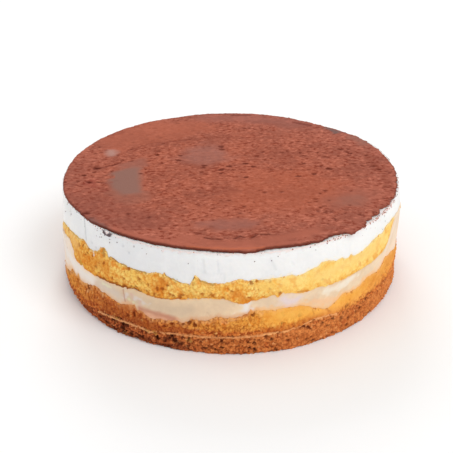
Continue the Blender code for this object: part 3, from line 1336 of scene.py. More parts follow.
GOLDEN_MARKS = (
    Mark(((66.5, 60), (78, 56), (96, 50)), 8.0, (246, 222, 192), 1.0, calm=1.0, soft=0.5,
         ragged=0.1),
    Mark(((16, 47), (34, 47), (70, 54)), 15.0, calm=0.85),
    at_head(-78, 62, 1.2, (255, 230, 170), 0.5, ragged=0.6),
    at_head(10, 62, 2.4, (255, 228, 158), 0.6, ragged=0.6),
    Mark(((-19.5, 45), (-20.5, 40.5)), 6.0, (222, 130, 40), 0.75, shade=0.2, ragged=0.5),
    Mark(((1.6, 42.5), (3.5, 40), (5.0, 37.5)), 4.6, (226, 134, 42), 0.75, ragged=0.5),
    Mark(((-48, 42), (-42, 46), (-40, 41)), 6.5, (230, 142, 44), 0.65, ragged=0.5),
    Mark(((-58, 46), (-54, 41)), 4.5, (232, 146, 52), 0.6, ragged=0.5),
    Mark(((-30, 45), (-26, 42)), 5.0, (255, 214, 112), 0.6, ragged=0.5),
    Mark(((-13, 44), (-6, 44)), 5.0, (255, 214, 116), 0.6, ragged=0.5),
    Mark(((-8.6, 50.5), (-3.0, 48.0)), 2.2, (240, 156, 62), 0.6, ragged=0.4),
    Mark(((-62, 0.5), (2, 0.5), (12, 0)), 4.5, (216, 138, 44), 0.35, ragged=0.7,
         anchor=Anchor.FOOT),
    # Painted shade along the sponge's lower edge, where it meets the filling.
    Mark(((-44.5, 0.2), (-31, 0.2), (-27.0, 0)), 2.4, (140, 70, 22), 0.95, rise=-0.3, ragged=0.5,
         anchor=Anchor.FOOT),
    at_foot(-24.5, -14.5, 1.6, (186, 106, 36), 0.8, ragged=0.6),
    *spots(((-8.0, 41.4), (14.4, 40.6), (-22.4, 36.6)), 1.8, (180, 100, 32), 0.8, rise=-0.4),
    *spots(((-13.5, 39.0), (-5.0, 40.4), (0.6, 43.8), (5.4, 39.4), (-2.0, 39.6), (-17.5, 38.2)),
           1.5, (184, 104, 34), 0.8, rise=-0.7),
    *spots(((-27.5, 43.5), (-33.0, 41.0), (-45.0, 40.0), (-50.5, 44.0), (-24.5, 41.5),
            (-37.5, 38.5), (-57.0, 41.0), (-61.5, 44.5)), 1.4, (160, 88, 28), 0.75, rise=-0.7),
    at_head(-39.0, -25.0, 0.9, OLIVE, 0.75, ragged=0.6, soft=0.7),
    at_head(-18.6, -14.3, 0.9, OLIVE, 0.7, ragged=0.6, soft=0.7),
    at_head(-8.5, -4.2, 0.8, OLIVE, 0.55, ragged=0.6, soft=0.7),
    Mark(((-76, 45), (-66, 46), (-58, 47)), 8.0, (255, 212, 134), 0.6, calm=0.3, ragged=0.5),
    Mark(((-41.2, 50.8), (-41.2, 55.2)), 2.1, (176, 126, 62), 0.7, soft=0.7),
    Mark(((-54.0, 36.0), (-52.4, 35.0)), 2.0, (196, 160, 72), 0.7),
    Mark(((20, 39.4), (23.2, 38.6)), 1.0, (204, 126, 50), 0.7, soft=0.7),
    Mark(((-46.2, 49.5), (-45.9, 47.0)), 0.8, (240, 234, 224), 0.85, soft=0.7),
    Mark(((26, 47), (40, 49), (54, 51)), 5.5, (253, 214, 132), 0.5, calm=0.35),
    Mark(((8.5, 47), (12, 46)), 4.5, (250, 204, 108), 0.6, calm=0.5),
)
CREAM_MARKS = (
    Mark(((83, 66), (85, 60), (84, 54)), 5.0, (214, 200, 176), 0.7),
    # Dents and smudges: sunk, and greyed with painted shade.
    Mark(((-62.8, 66), (-62.6, 60)), 0.9, (206, 205, 208), 0.6, rise=-0.35),
    Mark(((-52.0, 66), (-51.2, 61), (-50.6, 53.5)), 1.0, (204, 204, 207), 0.7, rise=-0.4),
    Mark(((-7.6, 62.5), (-7.2, 55)), 1.3, (222, 222, 223), 0.5, rise=-0.2),
    Mark(((-3.6, 62.5), (-3.2, 56)), 1.0, (224, 224, 225), 0.4, rise=-0.18),
    Mark(((11.5, 63), (13.0, 56)), 1.2, (224, 224, 225), 0.5, rise=-0.2),
    *spots(((-31.0, 58.7), (-33.3, 61.7), (-47.2, 54.2), (-45.1, 52.5)), 1.4, (196, 196, 200), 0.6,
           rise=-0.2),
    *spots(((-42.7, 63.4), (-42.4, 61.7), (-40.9, 63.9), (-29.2, 63.6), (57.1, 64.6)), 0.55,
           (110, 84, 80), 0.85, soft=0.7),
    at_head(106, 124, 16.0, rise=2.0),
    at_foot(10, 62, 1.6, (255, 240, 208), 0.7, ragged=0.6),
    # A painted highlight along the cream's lit top edge, under the cocoa.
    Mark(((-37, -0.2), (-20, 0), (0, 0), (20, -0.2), (37, -0.2)), 1.3, (246, 214, 204), 0.6,
         rise=0.2, ragged=0.6, anchor=Anchor.HEAD),
    at_head(36, 66, 1.8, (250, 218, 208), 0.6, ragged=0.6),
    Mark(((-41.2, 67.8), (-41.1, 66.4), (-40.4, 65.4), (-39.2, 65.3), (-38.2, 66.2), (-37.8, 67.8)),
         1.5, (84, 64, 68), 1.0, rise=1.1, soft=0.7, ragged=0.4),
    Mark(((-39.8, 67.2), (-39.4, 66.8)), 1.2, (250, 232, 230), 0.9, rise=0.5, soft=0.7),
)
COCOA_MARKS = (
    Mark(((-20, 100), (10, 101), (50, 88)), 16, calm=0.75, shade=0.6),
    Mark(((-90, 50), (-78, 70), (-58, 84), (-24, 88), (-18, 80), (-44, 62), (-70, 48), (-84, 36)),
         14, (182, 98, 72), 0.4, calm=0.5, filled=True),
    Mark(((10, -25), (24, -14), (48, -10), (64, -22), (64, -40), (43, -52), (16, -54), (6, -44)),
         18, (180, 94, 66), 0.4, filled=True),
    Mark(((-100, -40), (-84, -66), (-60, -84), (-40, -80), (-60, -60), (-84, -40)), 9,
         (136, 72, 58), 0.4, filled=True),
    Mark(((-28, -98), (-8, -104), (12, -104), (34, -96), (50, -88)), 6.5, (176, 98, 76), 0.4,
         calm=0.9, soft=0.9),
    Mark(((66, -50), (84, -38)), 15, (158, 98, 82), 0.3, calm=0.75),
    Mark(((-26, 32), (-20, 36), (-12, 35), (-9, 29), (-10, 20), (-16, 15), (-22, 16), (-26, 22)),
         15, (152, 104, 94), 0.5, calm=0.35, filled=True),
    Mark(((-16, -80), (-8, -78), (5, -78), (14, -80), (6, -83), (-6, -84)), 8, (150, 100, 90), 0.45,
         calm=0.7, filled=True),
    Mark(((73, -46), (80, -43), (83, -47), (79, -53), (73, -53)), 8, (146, 98, 84), 0.4, calm=0.5,
         filled=True),
    Mark(((92, 58), (100, 48)), 8, (142, 104, 92), 0.5, calm=0.4),
    # Smooth patches on the left: calmer relief, and a painted grey reflection of the light.
    Mark(((-76.5, -7), (-70, -2), (-64.5, 1), (-63, -17), (-60, -35), (-67, -37), (-73, -29),
          (-76.5, -18)), 7.0, (142, 102, 90), 0.95, calm=0.9, ragged=0.12, filled=True),
    Mark(((-74, 6), (-68, 11), (-62, 15), (-60, 10), (-64, 4)), 7, (154, 100, 86), 0.5, calm=0.6,
         filled=True),
    Mark(((-74, -38), (-68, -46), (-60, -50), (-55, -46), (-55, -38)), 8, (152, 100, 84), 0.4,
         calm=0.5, filled=True),
    Mark(((-84.8, 31.5), (-83.8, 26.5)), 7.2, (180, 136, 124), 0.85, calm=0.7, ragged=0.15),
    # A painted shadow in a bite out of the rim.
    Mark(((74, 78), (78, 74), (83, 70), (79, 68)), 3, (116, 94, 90), 0.85, filled=True),
    Mark(((-84, -74), (-80, -78), (-76, -82), (-72, -86)), 5, (122, 88, 82), 0.75, calm=0.6),
    Mark(((-71, -84), (-46, -98), (-28, -104), (-14, -107), (3, -108.5), (20, -107), (38, -101)),
         3.2, (186, 104, 82), 0.4, calm=0.9, ragged=0.5),
    # A painted highlight along the lit front rim.
    Mark(((-24, -107), (-10, -109), (6, -109.5), (26, -107.5)), 1.8, (202, 108, 70), 0.5, calm=0.9,
         ragged=0.5),
    Mark(((96.6, 26.6), (99.4, 8.8), (103, -4.7), (103.5, -16), (104, -26)), 5.0, (134, 62, 42),
         0.35, ragged=0.6),
    *spots(((83.5, 32.5), (84.4, 24.0), (84.8, 9.4), (90.9, 6.3), (95.5, 11.5), (99.2, 6.3),
            (102.2, 1.0), (107.6, -5.4), (52.6, 24.2), (67.3, 29.8), (66.5, 22.5)), 2.0,
           (104, 36, 20), 0.8, rise=-0.4, stretch=1.4, ragged=0.5),
    Mark(((50, 90), (62, 84)), 2.6, (118, 54, 42), 0.7, soft=0.7),
    Mark(((2, 107), (16, 107)), 2.2, (112, 54, 44), 0.7, soft=0.7),
    # A sunk arc, with painted shade in it.
    Mark(((-73, 34), (-58, 47), (-38, 53), (-22, 57), (0, 59)), 1.6, (124, 58, 44), 0.5, rise=-0.3,
         ragged=0.6),
    Mark(((-90, 62), (-80, 69)), 2.2, (140, 66, 50), 0.5),
    # A sunk line on the left, with painted shade in it.
    Mark(((-92, 0), (-88, 3), (-84, 6), (-79, 9), (-76, 12)), 1.8, (104, 38, 28), 0.75, rise=-0.5,
         ragged=0.6),
    # Cracks near the front rim: sunk, with painted shade in them.
    Mark(((-14.2, -96.9), (-11.3, -97.8), (-5.6, -98.2)), 0.9, (92, 32, 20), 0.95, rise=-0.3,
         soft=0.7),
    Mark(((-5.6, -98.2), (-1.6, -98.1)), 0.8, (112, 44, 30), 0.6, rise=-0.15, ragged=0.4, soft=0.7),
    Mark(((2.4, -97.6), (5.9, -94.6), (8.2, -96.1)), 0.9, (96, 36, 24), 0.8, rise=-0.3, ragged=0.4,
         soft=0.7),
    Mark(((12.6, -96.7), (16.5, -92.6), (23.2, -92.5)), 0.9, (96, 36, 24), 0.8, rise=-0.3,
         ragged=0.4, soft=0.7),
    Mark(((-22.5, -89.5), (-17.8, -91.3)), 1.4, (112, 44, 30), 0.7, rise=-0.2, ragged=0.5),
    Mark(((-91, -22), (-88, -26)), 6.5, (146, 60, 48), 0.5, ragged=0.6),
    # Pits: sunk, with painted shade in them.
    *spots(((-90.8, 2.9), (-86.9, -65), (-92.6, -20.2)), 2.6, (84, 24, 15), 0.95, rise=-0.8,
           stretch=1.5),
    *spots(((-59.8, -6.3), (-48.6, -70.9), (-61.8, -65.6), (63.1, -72.9), (61.2, -33.8),
            (8.8, -56.1), (33.5, -35.3), (-94.2, 40.7), (-86.6, -20.7), (96.3, 24.7), (97.5, 5.4),
            (101.2, 0.3), (37.9, 29.4)), 1.9, (96, 34, 22), 0.85, rise=-0.5, stretch=1.3),
    *spots(((-71.1, 36.3), (77.9, -33.8), (58.1, -80), (62.2, -47.7), (53.8, -63), (49.4, -50.5),
            (-0.5, -47.7), (-19.8, -33), (-19.1, -54), (12.3, -65), (6.2, -65.6), (-10, -74.9),
            (-46.2, 10.6), (76.3, 22.9), (70, -65.6), (74.4, -54.7), (43.9, 23), (26.2, 3.7),
            (22.6, -36), (54.8, 43.5)), 1.5, (100, 38, 26), 0.75, rise=-0.4, stretch=1.3),
)


@dataclass(frozen=True)
class CakeLayer:
    """One layer of the cake, closed all round, with its finish.

    The shade says how much of its finish's second tones the layer has round the cake. On the cream
    these are grey, a painted shade that is strongest left of the front. On the sponges and the
    crumb base the shade is partly painted shade, deeper towards the left, and partly their own
    change of colour. On the filling the second tones are its own whiter colour. The wear says how
    far its foot is worn away, in millimetres.
    """

    node: str
    slot: str
    finish: SpongeFinish | CreamFinish
    foot: Seam | None
    head: Seam
    marks: tuple[Mark, ...]
    crumb: Crumb
    shade: Path
    foot_shade: float = 0.0
    wear: Path = ((0, 0.0),)
    columns: int = 2000
    rows: int = 38
    head_tuck: float = 0.5

    # Sizes in millimetres: the band over which the foot's shade fades, the band along an edge where
    # the relief is calmer, how far the lower cap tucks under, how far caps and underside are set
    # back, the underside's height above the floor, the least height, and a distance past all bits.
    FOOT_BAND = 5.0
    EDGE_BAND = 0.8
    FOOT_TUCK = 0.5
    CAP_INSET = 1.2
    UNDER_INSET = 0.6
    CLEARANCE = 0.4
    LEAST_HEIGHT = 0.4
    FAR = 99.0

    # Shares: how calm an edge is, how much of the frame's side the side follows, where a cap's
    # outer ring lies on the sheet, its other rings with their numbers of points, how much of the
    # edge's waves they keep, and how much further back a worn underside is set.
    EDGE_CALM = 0.35
    SIDE_SPAN = (0.1, 0.9)
    CAP_LEVEL = 0.98
    CAP_RINGS = ((360, 0.9), (120, 0.5))
    CAP_WAVES = 0.2
    WEAR_INSET = 2.0

    # The underside's rings, relief and shade.
    UNDER_RINGS = 48
    UNDER_RELIEF = 0.35
    UNDER_SHADE = 0.5

    def build(self) -> Object:
        """Makes the layer's mesh, relief and material, and puts it in its node's place."""
        shape = FrameLayer(self.node)
        angles = even(self.columns)
        foot, head = self.seams(shape, angles)
        shares = np.linspace(0, 1, self.rows + 1)
        turned = np.tile(angles, len(shares))
        height = (foot + shares[:, None] * (head - foot)).ravel()
        above = height - np.tile(foot, len(shares))
        below = np.tile(head, len(shares)) - height
        surface = self.dress(turned, height, above, below)
        followed = shares.clip(*self.SIDE_SPAN)
        radius = np.concatenate([shape.radius(share, angles) for share in followed])
        points = ring_points(turned, radius + surface.rise * MM, height * MM)
        turning = Turning()
        if self.foot:
            self.cap(turning, angles, foot, shape, Zone.UNDER)
        else:
            self.underside(turning, angles, shape)
        start = turning.count
        for row, share in zip(points.reshape(-1, self.columns, 3), shares):
            turning.ring(row, share, Zone.SIDE)
        self.cap(turning, angles, head, shape, Zone.OVER)
        mesh = turning.mesh(self.node, Sheet())
        store_run(mesh, "below_head", below, start, self.FAR)
        if self.foot:
            surface.carry(mesh, start)
        else:
            surface.follow(Surface(start, self.UNDER_RELIEF, self.UNDER_SHADE))
            surface.carry(mesh, 0)
        item = new_object(f"{self.node}_shown", mesh)
        self.crumb.treat(item, self.finish.build())
        add_piece(item, self.node)
        return item

    def seams(self, shape: FrameLayer, angles: np.ndarray) -> tuple[np.ndarray, np.ndarray]:
        """The heights of the layer's two edges round its side, in millimetres."""
        foot = shape.rim(0, angles) / MM
        if self.foot:
            foot += self.foot.offset(angles) - FRAME_GAP / 2
        else:
            foot += profile(self.wear, angles) + self.CLEARANCE
        head = shape.rim(-1, angles) / MM + self.head.offset(angles) + FRAME_GAP / 2
        return foot, np.maximum(head, foot + self.LEAST_HEIGHT)

    def dress(self, turned: np.ndarray, height: np.ndarray, above: np.ndarray,
              below: np.ndarray) -> Surface:
        """Lays the layer's shades and marks on its side, and calms its edges.

        Args:
            turned: Each point's angle.
            height: Its height, in millimetres.
            above: How far it stands above the layer's foot.
            below: How far it stands below the layer's head.

        Returns:
            The surface.
        """
        surface = Surface(len(turned))
        surface.shade += profile(self.shade, turned)
        surface.shade += self.foot_shade * (1 - ease(above / self.FOOT_BAND))
        across = off_front(turned) * MM_PER_DEGREE
        places = {Anchor.FLOOR: np.stack((across, height), 1),
                  Anchor.HEAD: np.stack((across, -below), 1),
                  Anchor.FOOT: np.stack((across, above), 1)}
        for mark in self.marks:
            surface.lay(mark, mark.weight(places[mark.anchor], MM_PER_DEGREE))
        surface.shade = surface.shade.clip(0, 1)
        inward = ease(np.minimum(above, below) / self.EDGE_BAND)
        surface.relief *= 1 - self.EDGE_CALM * (1 - inward)
        return surface

    def cap(self, turning: Turning, angles: np.ndarray, edge: np.ndarray, shape: FrameLayer,
            zone: Zone) -> None:
        """Closes one end of the layer with a disc that tucks in behind its neighbour's edge.

        Args:
            turning: The surface being built.
            angles: The columns' angles.
            edge: The end's height round the side, in millimetres.
            shape: The frame's layer.
            zone: Which end it is.
        """
        under = zone is Zone.UNDER
        tuck = -self.FOOT_TUCK if under else self.head_tuck
        middle = float(edge.mean())
        radius = shape.radius(self.SIDE_SPAN[0 if under else 1], angles) - self.CAP_INSET * MM
        rims = [(ring_points(angles, radius, (edge + tuck) * MM), self.CAP_LEVEL)]
        for total, part in self.CAP_RINGS:
            turned = even(total)
            wave = np.interp(turned, angles, edge, period=360) - middle
            level = middle + tuck + wave * self.CAP_WAVES
            rims.append((ring_points(turned, SIDE_RADIUS * MM * part, level * MM), part))
        rims.append((pole((middle + tuck) * MM), 0.0))
        for points, level in (reversed(rims) if under else rims):
            turning.ring(points, level, zone)

    def underside(self, turning: Turning, angles: np.ndarray, shape: FrameLayer) -> None:
        """Lays the flat underside from the middle out, worn back where the foot is."""
        inset = self.UNDER_INSET + self.WEAR_INSET * profile(self.wear, angles)
        edge = shape.radius(self.SIDE_SPAN[0], angles) - inset * MM
        level = self.CLEARANCE * MM
        for points, share in disc(angles, edge, level, self.UNDER_RINGS):
            turning.ring(points, share, Zone.UNDER)
        turning.ring(ring_points(angles, edge, level), 1.0, Zone.UNDER)


@dataclass(frozen=True)
class CocoaSheet:
    """The sheet of sifted cocoa over the top, with its ragged, shaded edge.

    Round the cake, the edge's shade is the share of painted shade on the edge's wall, and its fray
    and its spread are in millimetres.
    """

    node: str = "cocoa_top"
    rings: int = 172
    wall_rows: int = 8
    finish: CocoaFinish = CocoaFinish()
    powder: Powder = Powder()
    edge_shade: Path = ((-90, 0.3), (-62, 0.5), (-50, 0.7), (-40, 0.95), (0, 0.9), (30, 0.8),
                        (40, 0.45), (50, 0.25), (62, 0.35), (90, 0.6), (180, 0.6), (-120, 0.5))
    fray: Path = ((-60, 0.25), (-35, 0.25), (0, 0.3), (30, 0.5), (36, 1.1), (60, 1.1), (75, 0.9),
                  (90, 0.4), (106, 0.4), (114, 1.1), (148, 1), (156, 0.3), (-120, 0.25))
    spread: Path = ((-90, -0.6), (-78, -0.9), (-66, -0.7), (-56, -0.6), (-48, 0.9), (-41, -0.5),
                    (-24, -1.3), (-10, -1.6), (2, -0.2), (6, 1.2), (11, -2.2), (20, -0.9),
                    (28, 1), (32, -1.6), (36.4, -2.4), (37.6, 1.4), (43, 0.8), (48, -2),
                    (52, -1.8), (54, 0), (58, -1.8), (61, 0), (68, -0.2), (76, -0.4),
                    (90, 0.6), (100, 1.2), (108, 3), (120, 2.6), (130, 1.3), (142, 0.8),
                    (148, -0.8), (156, 0.2), (166, 1), (180, 0.9), (-168, 0.2), (-156, -0.5),
                    (-146, 1), (-136, 0.9), (-120, 0.6), (-106, 0))
    crown: float = 0.65

    # The lines that wander round the cake: the outline, the wall's foot and the rim's shade, each
    # with its seed and its waves.
    OUTLINE = (31, ((180, 0.5), (420, 0.5), (900, 0.35)))
    FOOT = (32, ((300, 0.25), (700, 0.2)))
    RIM = (33, ((5, 0.5),))

    # The rim's shade, and the radius in millimetres at which it is full. Then how far below the
    # wall's foot the underside lies, how far it is set back, and its place on the sheet.
    RIM_SHADE = 0.5
    RIM_RADIUS = 112
    UNDER_DEPTH = 0.4
    UNDER_INSET = 4
    UNDER_LEVEL = 0.95

    def build(self) -> None:
        """Makes the sheet from the wall's foot up and in to the middle."""
        shape = FrameLayer(self.node)
        angles = even(self.rings * RING_STEP)
        fray = profile(self.fray, angles)
        outward = (wander(angles, *self.OUTLINE) * fray + profile(self.spread, angles)) * MM
        foot = shape.rim(0, angles) / MM + COCOA_SEAM.offset(angles) - FRAME_GAP / 2
        foot += wander(angles, *self.FOOT) * fray
        head = float(shape.rim(-1, angles).mean()) / MM + self.crown
        turning = Turning()
        low = (float(foot.mean()) - self.UNDER_DEPTH) * MM
        inner = shape.radius(0.0, angles) - self.UNDER_INSET * MM
        turning.ring(pole(low), 0.0, Zone.UNDER)
        turning.ring(ring_points(angles, inner, low), self.UNDER_LEVEL, Zone.UNDER)
        start = turning.count
        shares = np.linspace(0, 1, self.wall_rows)
        for share in shares:
            height = (foot + share * (head - foot)) * MM
            radius = shape.radius(float(share), angles) + outward
            turning.ring(ring_points(angles, radius, height), share, Zone.SIDE)
        edge = shape.radius(1.0, angles) + outward
        for points, share in reversed(disc(angles, edge, head * MM, self.rings)):
            turning.ring(points, share, Zone.OVER)
        points = np.concatenate(turning.points)
        surface = self.dress(points[start:, :2] / MM)
        points[start:, 2] += surface.rise * MM
        turning.points = [points]
        mesh = turning.mesh(self.node, Sheet(strips=2, ends_height=0.88, over_width=0.9))
        surface.carry(mesh, start)
        # Painted shade on the edge's wall, full over its lower half and fading out at the top.
        wall = np.outer(1 - ease(2 * shares - 1), profile(self.edge_shade, angles))
        store_run(mesh, "wall", wall.ravel(), start)
        item = new_object(f"{self.node}_shown", mesh)
        self.powder.treat(item, self.finish.build())
        add_piece(item, self.node)

    def dress(self, place: np.ndarray) -> Surface:
        """Lays the marks on the sheet, and shades it towards its rim.

        Args:
            place: Each point's place along X and Y, in millimetres.

        Returns:
            The surface.
        """
        surface = Surface(len(place))
        for mark in COCOA_MARKS:
            surface.lay(mark, mark.weight(place, 1.0))
        out = (np.hypot(*place.T) / self.RIM_RADIUS) ** 3
        surface.shade += self.RIM_SHADE * (1 + wander(angles_of(place), *self.RIM)) * out
        surface.shade = surface.shade.clip(0, 1)
        return surface


@dataclass(frozen=True)
class Strewing:
    """Bits strewn along a layer's head.

    They thin out to nothing at their reach below it, in millimetres, and the crowd is their share
    of the full density round the cake.
    """

    name: str
    slot: str
    layer: str
    reach: float
    crowd: Path
    scatter: Scatter
    tones: Tones

    def build(self, surface: Object) -> None:
        """Strews the bits over their layer's finished object."""
        mesh = surface.data.copy()
        below = np.empty(len(mesh.vertices), np.float32)
        mesh.attributes["below_head"].data.foreach_get("value", below)
        crowd = profile(self.crowd, angles_of(points_of(mesh)))
        store(mesh, "strewn", crowd * (1 - ease(below / self.reach)))
        item = new_object(self.name, mesh)
        self.scatter.treat(item, BitFinish(self.name, self.tones).build())
        add_piece(item)


class Cake:
    """The whole cake: its layers, its sheet of cocoa and its loose bits."""

    BASE = SpongeFinish(
        "crumb",
        first=Tones((248, 162, 86), (208, 114, 48)), second=Tones((208, 112, 58), (140, 60, 28)),
        fleck=(196, 98, 44), glint=(252, 190, 126), gap=(94, 33, 12), pore=(66, 20, 8),
        gap_strength=0.85, pore_strength=0.8, fleck_share=0.25, glint_share=0.32)
    DARK = SpongeFinish(
        "dark_sponge",
        first=Tones((255, 196, 92), (250, 164, 58)), second=Tones((224, 130, 58), (168, 77, 30)),
        fleck=(230, 128, 40), glint=(254, 200, 116), gap=(142, 56, 18), pore=(118, 46, 16),
        gap_strength=0.65, pore_strength=0.7)
    GOLDEN = SpongeFinish(
        "golden_sponge",
        first=Tones((255, 230, 146), (255, 200, 92)), second=Tones((255, 202, 88), (238, 144, 42)),
        fleck=(236, 140, 40), glint=(255, 228, 136), gap=(202, 106, 28), pore=(172, 90, 28),
        gap_strength=0.5, pore_strength=0.75, fleck_share=0.4)
    # The cream's second tones are greyer copies of its first: a painted shade.
    CREAM = CreamFinish(
        "cream",
        first=Tones((246, 244, 241), (240, 239, 237)),
        second=Tones((240, 240, 241), (232, 232, 234)),
        speck=(150, 130, 126), roughness=0.5, speck_strength=0.4)
    FILLING = CreamFinish(
        "filling",
        first=Tones((241, 213, 176), (229, 200, 166)),
        second=Tones((248, 228, 210), (236, 214, 196)),
        speck=(196, 150, 106), roughness=0.42)

    LAYERS = (
        CakeLayer(
            "crumb_base", "crumb", BASE, None, BASE_SEAM, BASE_MARKS,
            Crumb(lump_size=8.0, crumb_size=2.3, crumb_height=0.9, grain_height=0.45,
                  pore_size=3.2, pore_depth=1.1, pore_share=0.3, flatten=1.2),
            shade=((-80, 0.8), (-50, 0.95), (-35, 1), (-18, 0.85), (-5, 0.5), (10, 0.4),
                   (30, 0.4), (60, 0.3), (80, 0.3), (130, 0.5), (-130, 0.6)),
            foot_shade=0.15,
            wear=((-78, 0.3), (-70, 1.9), (-60, 1.8), (-55, 0.2), (-31, 0), (-29.6, 0.9),
                  (-28, 0), (46, 0), (51, 1.6), (60, 2.3), (67, 1.6), (74, 0.2)),
            rows=36),
        CakeLayer(
            "sponge_lower", "dark_sponge", DARK, BASE_SEAM, LOWER_SEAM, DARK_MARKS,
            Crumb(lump_size=7.0, crumb_size=2.1, crumb_height=0.75, grain_size=1.1,
                  grain_height=0.35, pore_depth=0.9, pore_share=0.2, flatten=0.75, seed=2.0),
            shade=((-80, 0.4), (-62, 0.45), (-50, 0.8), (-40, 1), (-28, 1), (-10, 0.6),
                   (5, 0.35), (15, 0.1), (28, 0), (38, 0.1), (55, 0.35), (70, 0.45),
                   (110, 0.6), (180, 0.5), (-120, 0.6)),
            foot_shade=0.8),
        CakeLayer(
            "cream_filling", "filling", FILLING, LOWER_SEAM, FILLING_SEAM, FILLING_MARKS,
            Crumb(lump_size=12.0, crumb_size=4.0, crumb_height=0.06, grain_size=2.0,
                  grain_height=0.04, pore_size=6.0, pore_depth=0.3, pore_share=0.06, flatten=1.0,
                  seed=3.0),
            shade=((-80, 0.9), (-57, 0.75), (-46, 0.45), (-36, 0.2), (-32, 0), (-4, 0),
                   (8, 0.1), (20, 0.15), (30, 0), (60, 0.1), (80, 0.4), (130, 0.5), (-130, 0.6)),
            columns=1440, rows=28),
        CakeLayer(
            "sponge_upper", "golden_sponge", GOLDEN, FILLING_SEAM, CREAM_SEAM, GOLDEN_MARKS,
            Crumb(lump_size=7.0, lump_height=0.4, crumb_size=2.1, crumb_height=0.55,
                  grain_size=1.1, grain_height=0.32, pore_depth=0.6, pore_share=0.18, flatten=1.0,
                  seed=4.0),
            shade=((-80, 0.3), (-66, 0.4), (-50, 0.8), (-34, 0.5), (-20, 0.45), (-8, 0.3),
                   (8, 0.3), (18, 0.15), (35, 0.05), (60, 0.1), (80, 0.3), (130, 0.5),
                   (-120, 0.7)),
            foot_shade=0.3, rows=40),
        CakeLayer(
            "cream_top", "cream", CREAM, CREAM_SEAM, COCOA_SEAM, CREAM_MARKS,
            Crumb(lump_size=13.0, crumb_size=4.0, crumb_height=0.05, grain_size=2.0,
                  grain_height=0.03, pore_size=8.0, pore_depth=0.3, pore_share=0.05, flatten=0.8,
                  seed=5.0),
            shade=((-80, 0), (-66, 0.2), (-40, 0.75), (0, 0.4), (30, 0.1), (60, 0),
                   (90, 0.3), (180, 0.6), (-120, 0.6)),
            columns=1440, rows=34, head_tuck=-0.4),
    )

    STREWINGS = (
        Strewing("cocoa_grains", "cocoa", "cream_top", 2.4,
                 ((-70, 0.1), (-45, 0.2), (-36, 0.04), (20, 0.04), (30, 0.35), (36, 1),
                  (66, 0.9), (80, 0.4), (110, 0.3), (-100, 0.15)),
                 Scatter(density=1e6, width=1.0, seed=3.0), Tones((196, 116, 92), (128, 66, 50))),
        Strewing("cocoa_dust", "cocoa", "cream_top", 14.0,
                 ((-60, 0.8), (-40, 1), (-20, 0.4), (20, 0.4), (40, 0.8), (90, 0.5),
                  (-100, 0.5)),
                 Scatter(density=3e4, width=0.8, least=0.3, seed=4.0),
                 Tones((120, 84, 76), (88, 54, 46))),
        Strewing("base_crumbs", "crumb", "crumb_base", 3.0,
                 ((-60, 0.7), (0, 0.5), (60, 0.4), (180, 0.6)),
                 Scatter(density=3e5, width=1.7, seed=5.0), Tones((230, 158, 96), (168, 90, 42))),
        Strewing("sponge_crumbs", "dark_sponge", "sponge_lower", 2.2,
                 ((-60, 0.8), (0, 0.8), (60, 0.5), (180, 0.7)),
                 Scatter(density=2e5, width=1.4, seed=6.0), Tones((248, 180, 92), (204, 122, 50))),
        Strewing("golden_crumbs", "golden_sponge", "sponge_upper", 1.8,
                 ((-60, 0.9), (0, 0.7), (60, 0.6), (180, 0.7)),
                 Scatter(density=1.6e5, width=1.4, seed=7.0),
                 Tones((255, 214, 118), (232, 164, 64))),
    )

    def build(self) -> None:
        """Builds every piece."""
        for kind in (Crumb, Powder, Scatter):
            kind.make_tree()
        layers = {layer.node: layer.build() for layer in self.LAYERS}
        CocoaSheet().build()
        for strewing in self.STREWINGS:
            strewing.build(layers[strewing.layer])


# ---------------------------------------------------------------------------------- studio


@dataclass(frozen=True)
class Lamp:
    """A soft square light: where it stands from the cake's middle, its side and its power."""

    name: str
    azimuth: float
    elevation: float
    side: float
    power: float
    distance: float = 4.0

    def build(self) -> None:
        """Puts the light in the scene, turned to the cake."""
        light = bpy.data.lights.new(self.name, "AREA")
        light.size = self.side
        light.energy = self.power
        item = bpy.data.objects.new(self.name, light)
        rise, turn = math.radians(self.elevation), math.radians(self.azimuth)
        level = self.distance * math.cos(rise)
        item.location = (level * math.sin(turn), -level * math.cos(turn),
                         self.distance * math.sin(rise))
        item.rotation_euler = (math.pi / 2 - rise, 0, turn)
        bpy.context.scene.collection.objects.link(item)


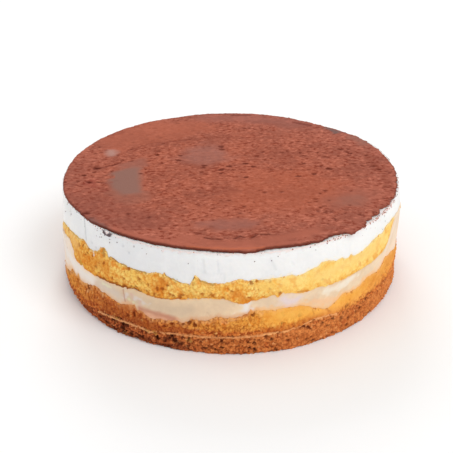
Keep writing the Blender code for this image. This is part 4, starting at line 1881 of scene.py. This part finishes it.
@dataclass(frozen=True)
class Studio:
    """The pale floor, the soft light and the camera."""

    floor_side: float = 14.0
    floor_colour: Colour = (251, 251, 251)
    sky: float = 0.7
    lamps: tuple[Lamp, ...] = (
        Lamp("key", azimuth=50.0, elevation=50.0, side=1.8, power=52.0),
        Lamp("back", azimuth=-172.0, elevation=36.0, side=1.6, power=34.0),
        Lamp("side", azimuth=-112.0, elevation=15.0, side=1.6, power=13.0),
    )
    distance: float = 0.575
    elevation: float = 30.0523
    tilt_up: float = 2.1751
    turn_left: float = 0.2328
    lens: float = 63.42
    sensor: float = 36.0

    def build(self) -> None:
        """Builds the studio."""
        self.floor()
        self.world()
        for lamp in self.lamps:
            lamp.build()
        self.camera()
        bpy.context.scene.view_settings.view_transform = "Standard"
        LOG.info("studio")

    def floor(self) -> None:
        """Lays the floor."""
        half = self.floor_side / 2
        corners = [(-half, -half, 0), (half, -half, 0), (half, half, 0), (-half, half, 0)]
        mesh = bpy.data.meshes.new("floor")
        mesh.from_pydata(corners, [], [(0, 1, 2, 3)])
        shader = Shader("floor")
        mesh.materials.append(shader.finish(linear(self.floor_colour), roughness=0.8))
        new_object("floor", mesh)

    def world(self) -> None:
        """Lights the scene evenly from all round."""
        world = bpy.data.worlds.new("sky")
        world.use_nodes = True
        sky = world.node_tree.nodes["Background"]
        sky.inputs["Color"].default_value = (1, 1, 1, 1)
        sky.inputs["Strength"].default_value = self.sky
        bpy.context.scene.world = world

    def camera(self) -> None:
        """Puts the camera where the photograph was taken from."""
        data = bpy.data.cameras.new("camera")
        data.lens = self.lens
        data.sensor_width = self.sensor
        data.clip_start = 0.01
        item = bpy.data.objects.new("camera", data)
        rise = math.radians(self.elevation)
        item.location = (0, -self.distance * math.cos(rise), self.distance * math.sin(rise))
        look = Euler((math.pi / 2 - rise, 0, 0)).to_matrix()
        nudge = Euler((math.radians(self.tilt_up), math.radians(self.turn_left), 0)).to_matrix()
        item.rotation_euler = (look @ nudge).to_euler()
        bpy.context.scene.collection.objects.link(item)
        bpy.context.scene.camera = item


def main() -> None:
    """Builds the cake and its studio."""
    logging.basicConfig(level=logging.INFO, format="%(message)s")
    Cake().build()
    Studio().build()


if __name__ == "__main__":
    main()
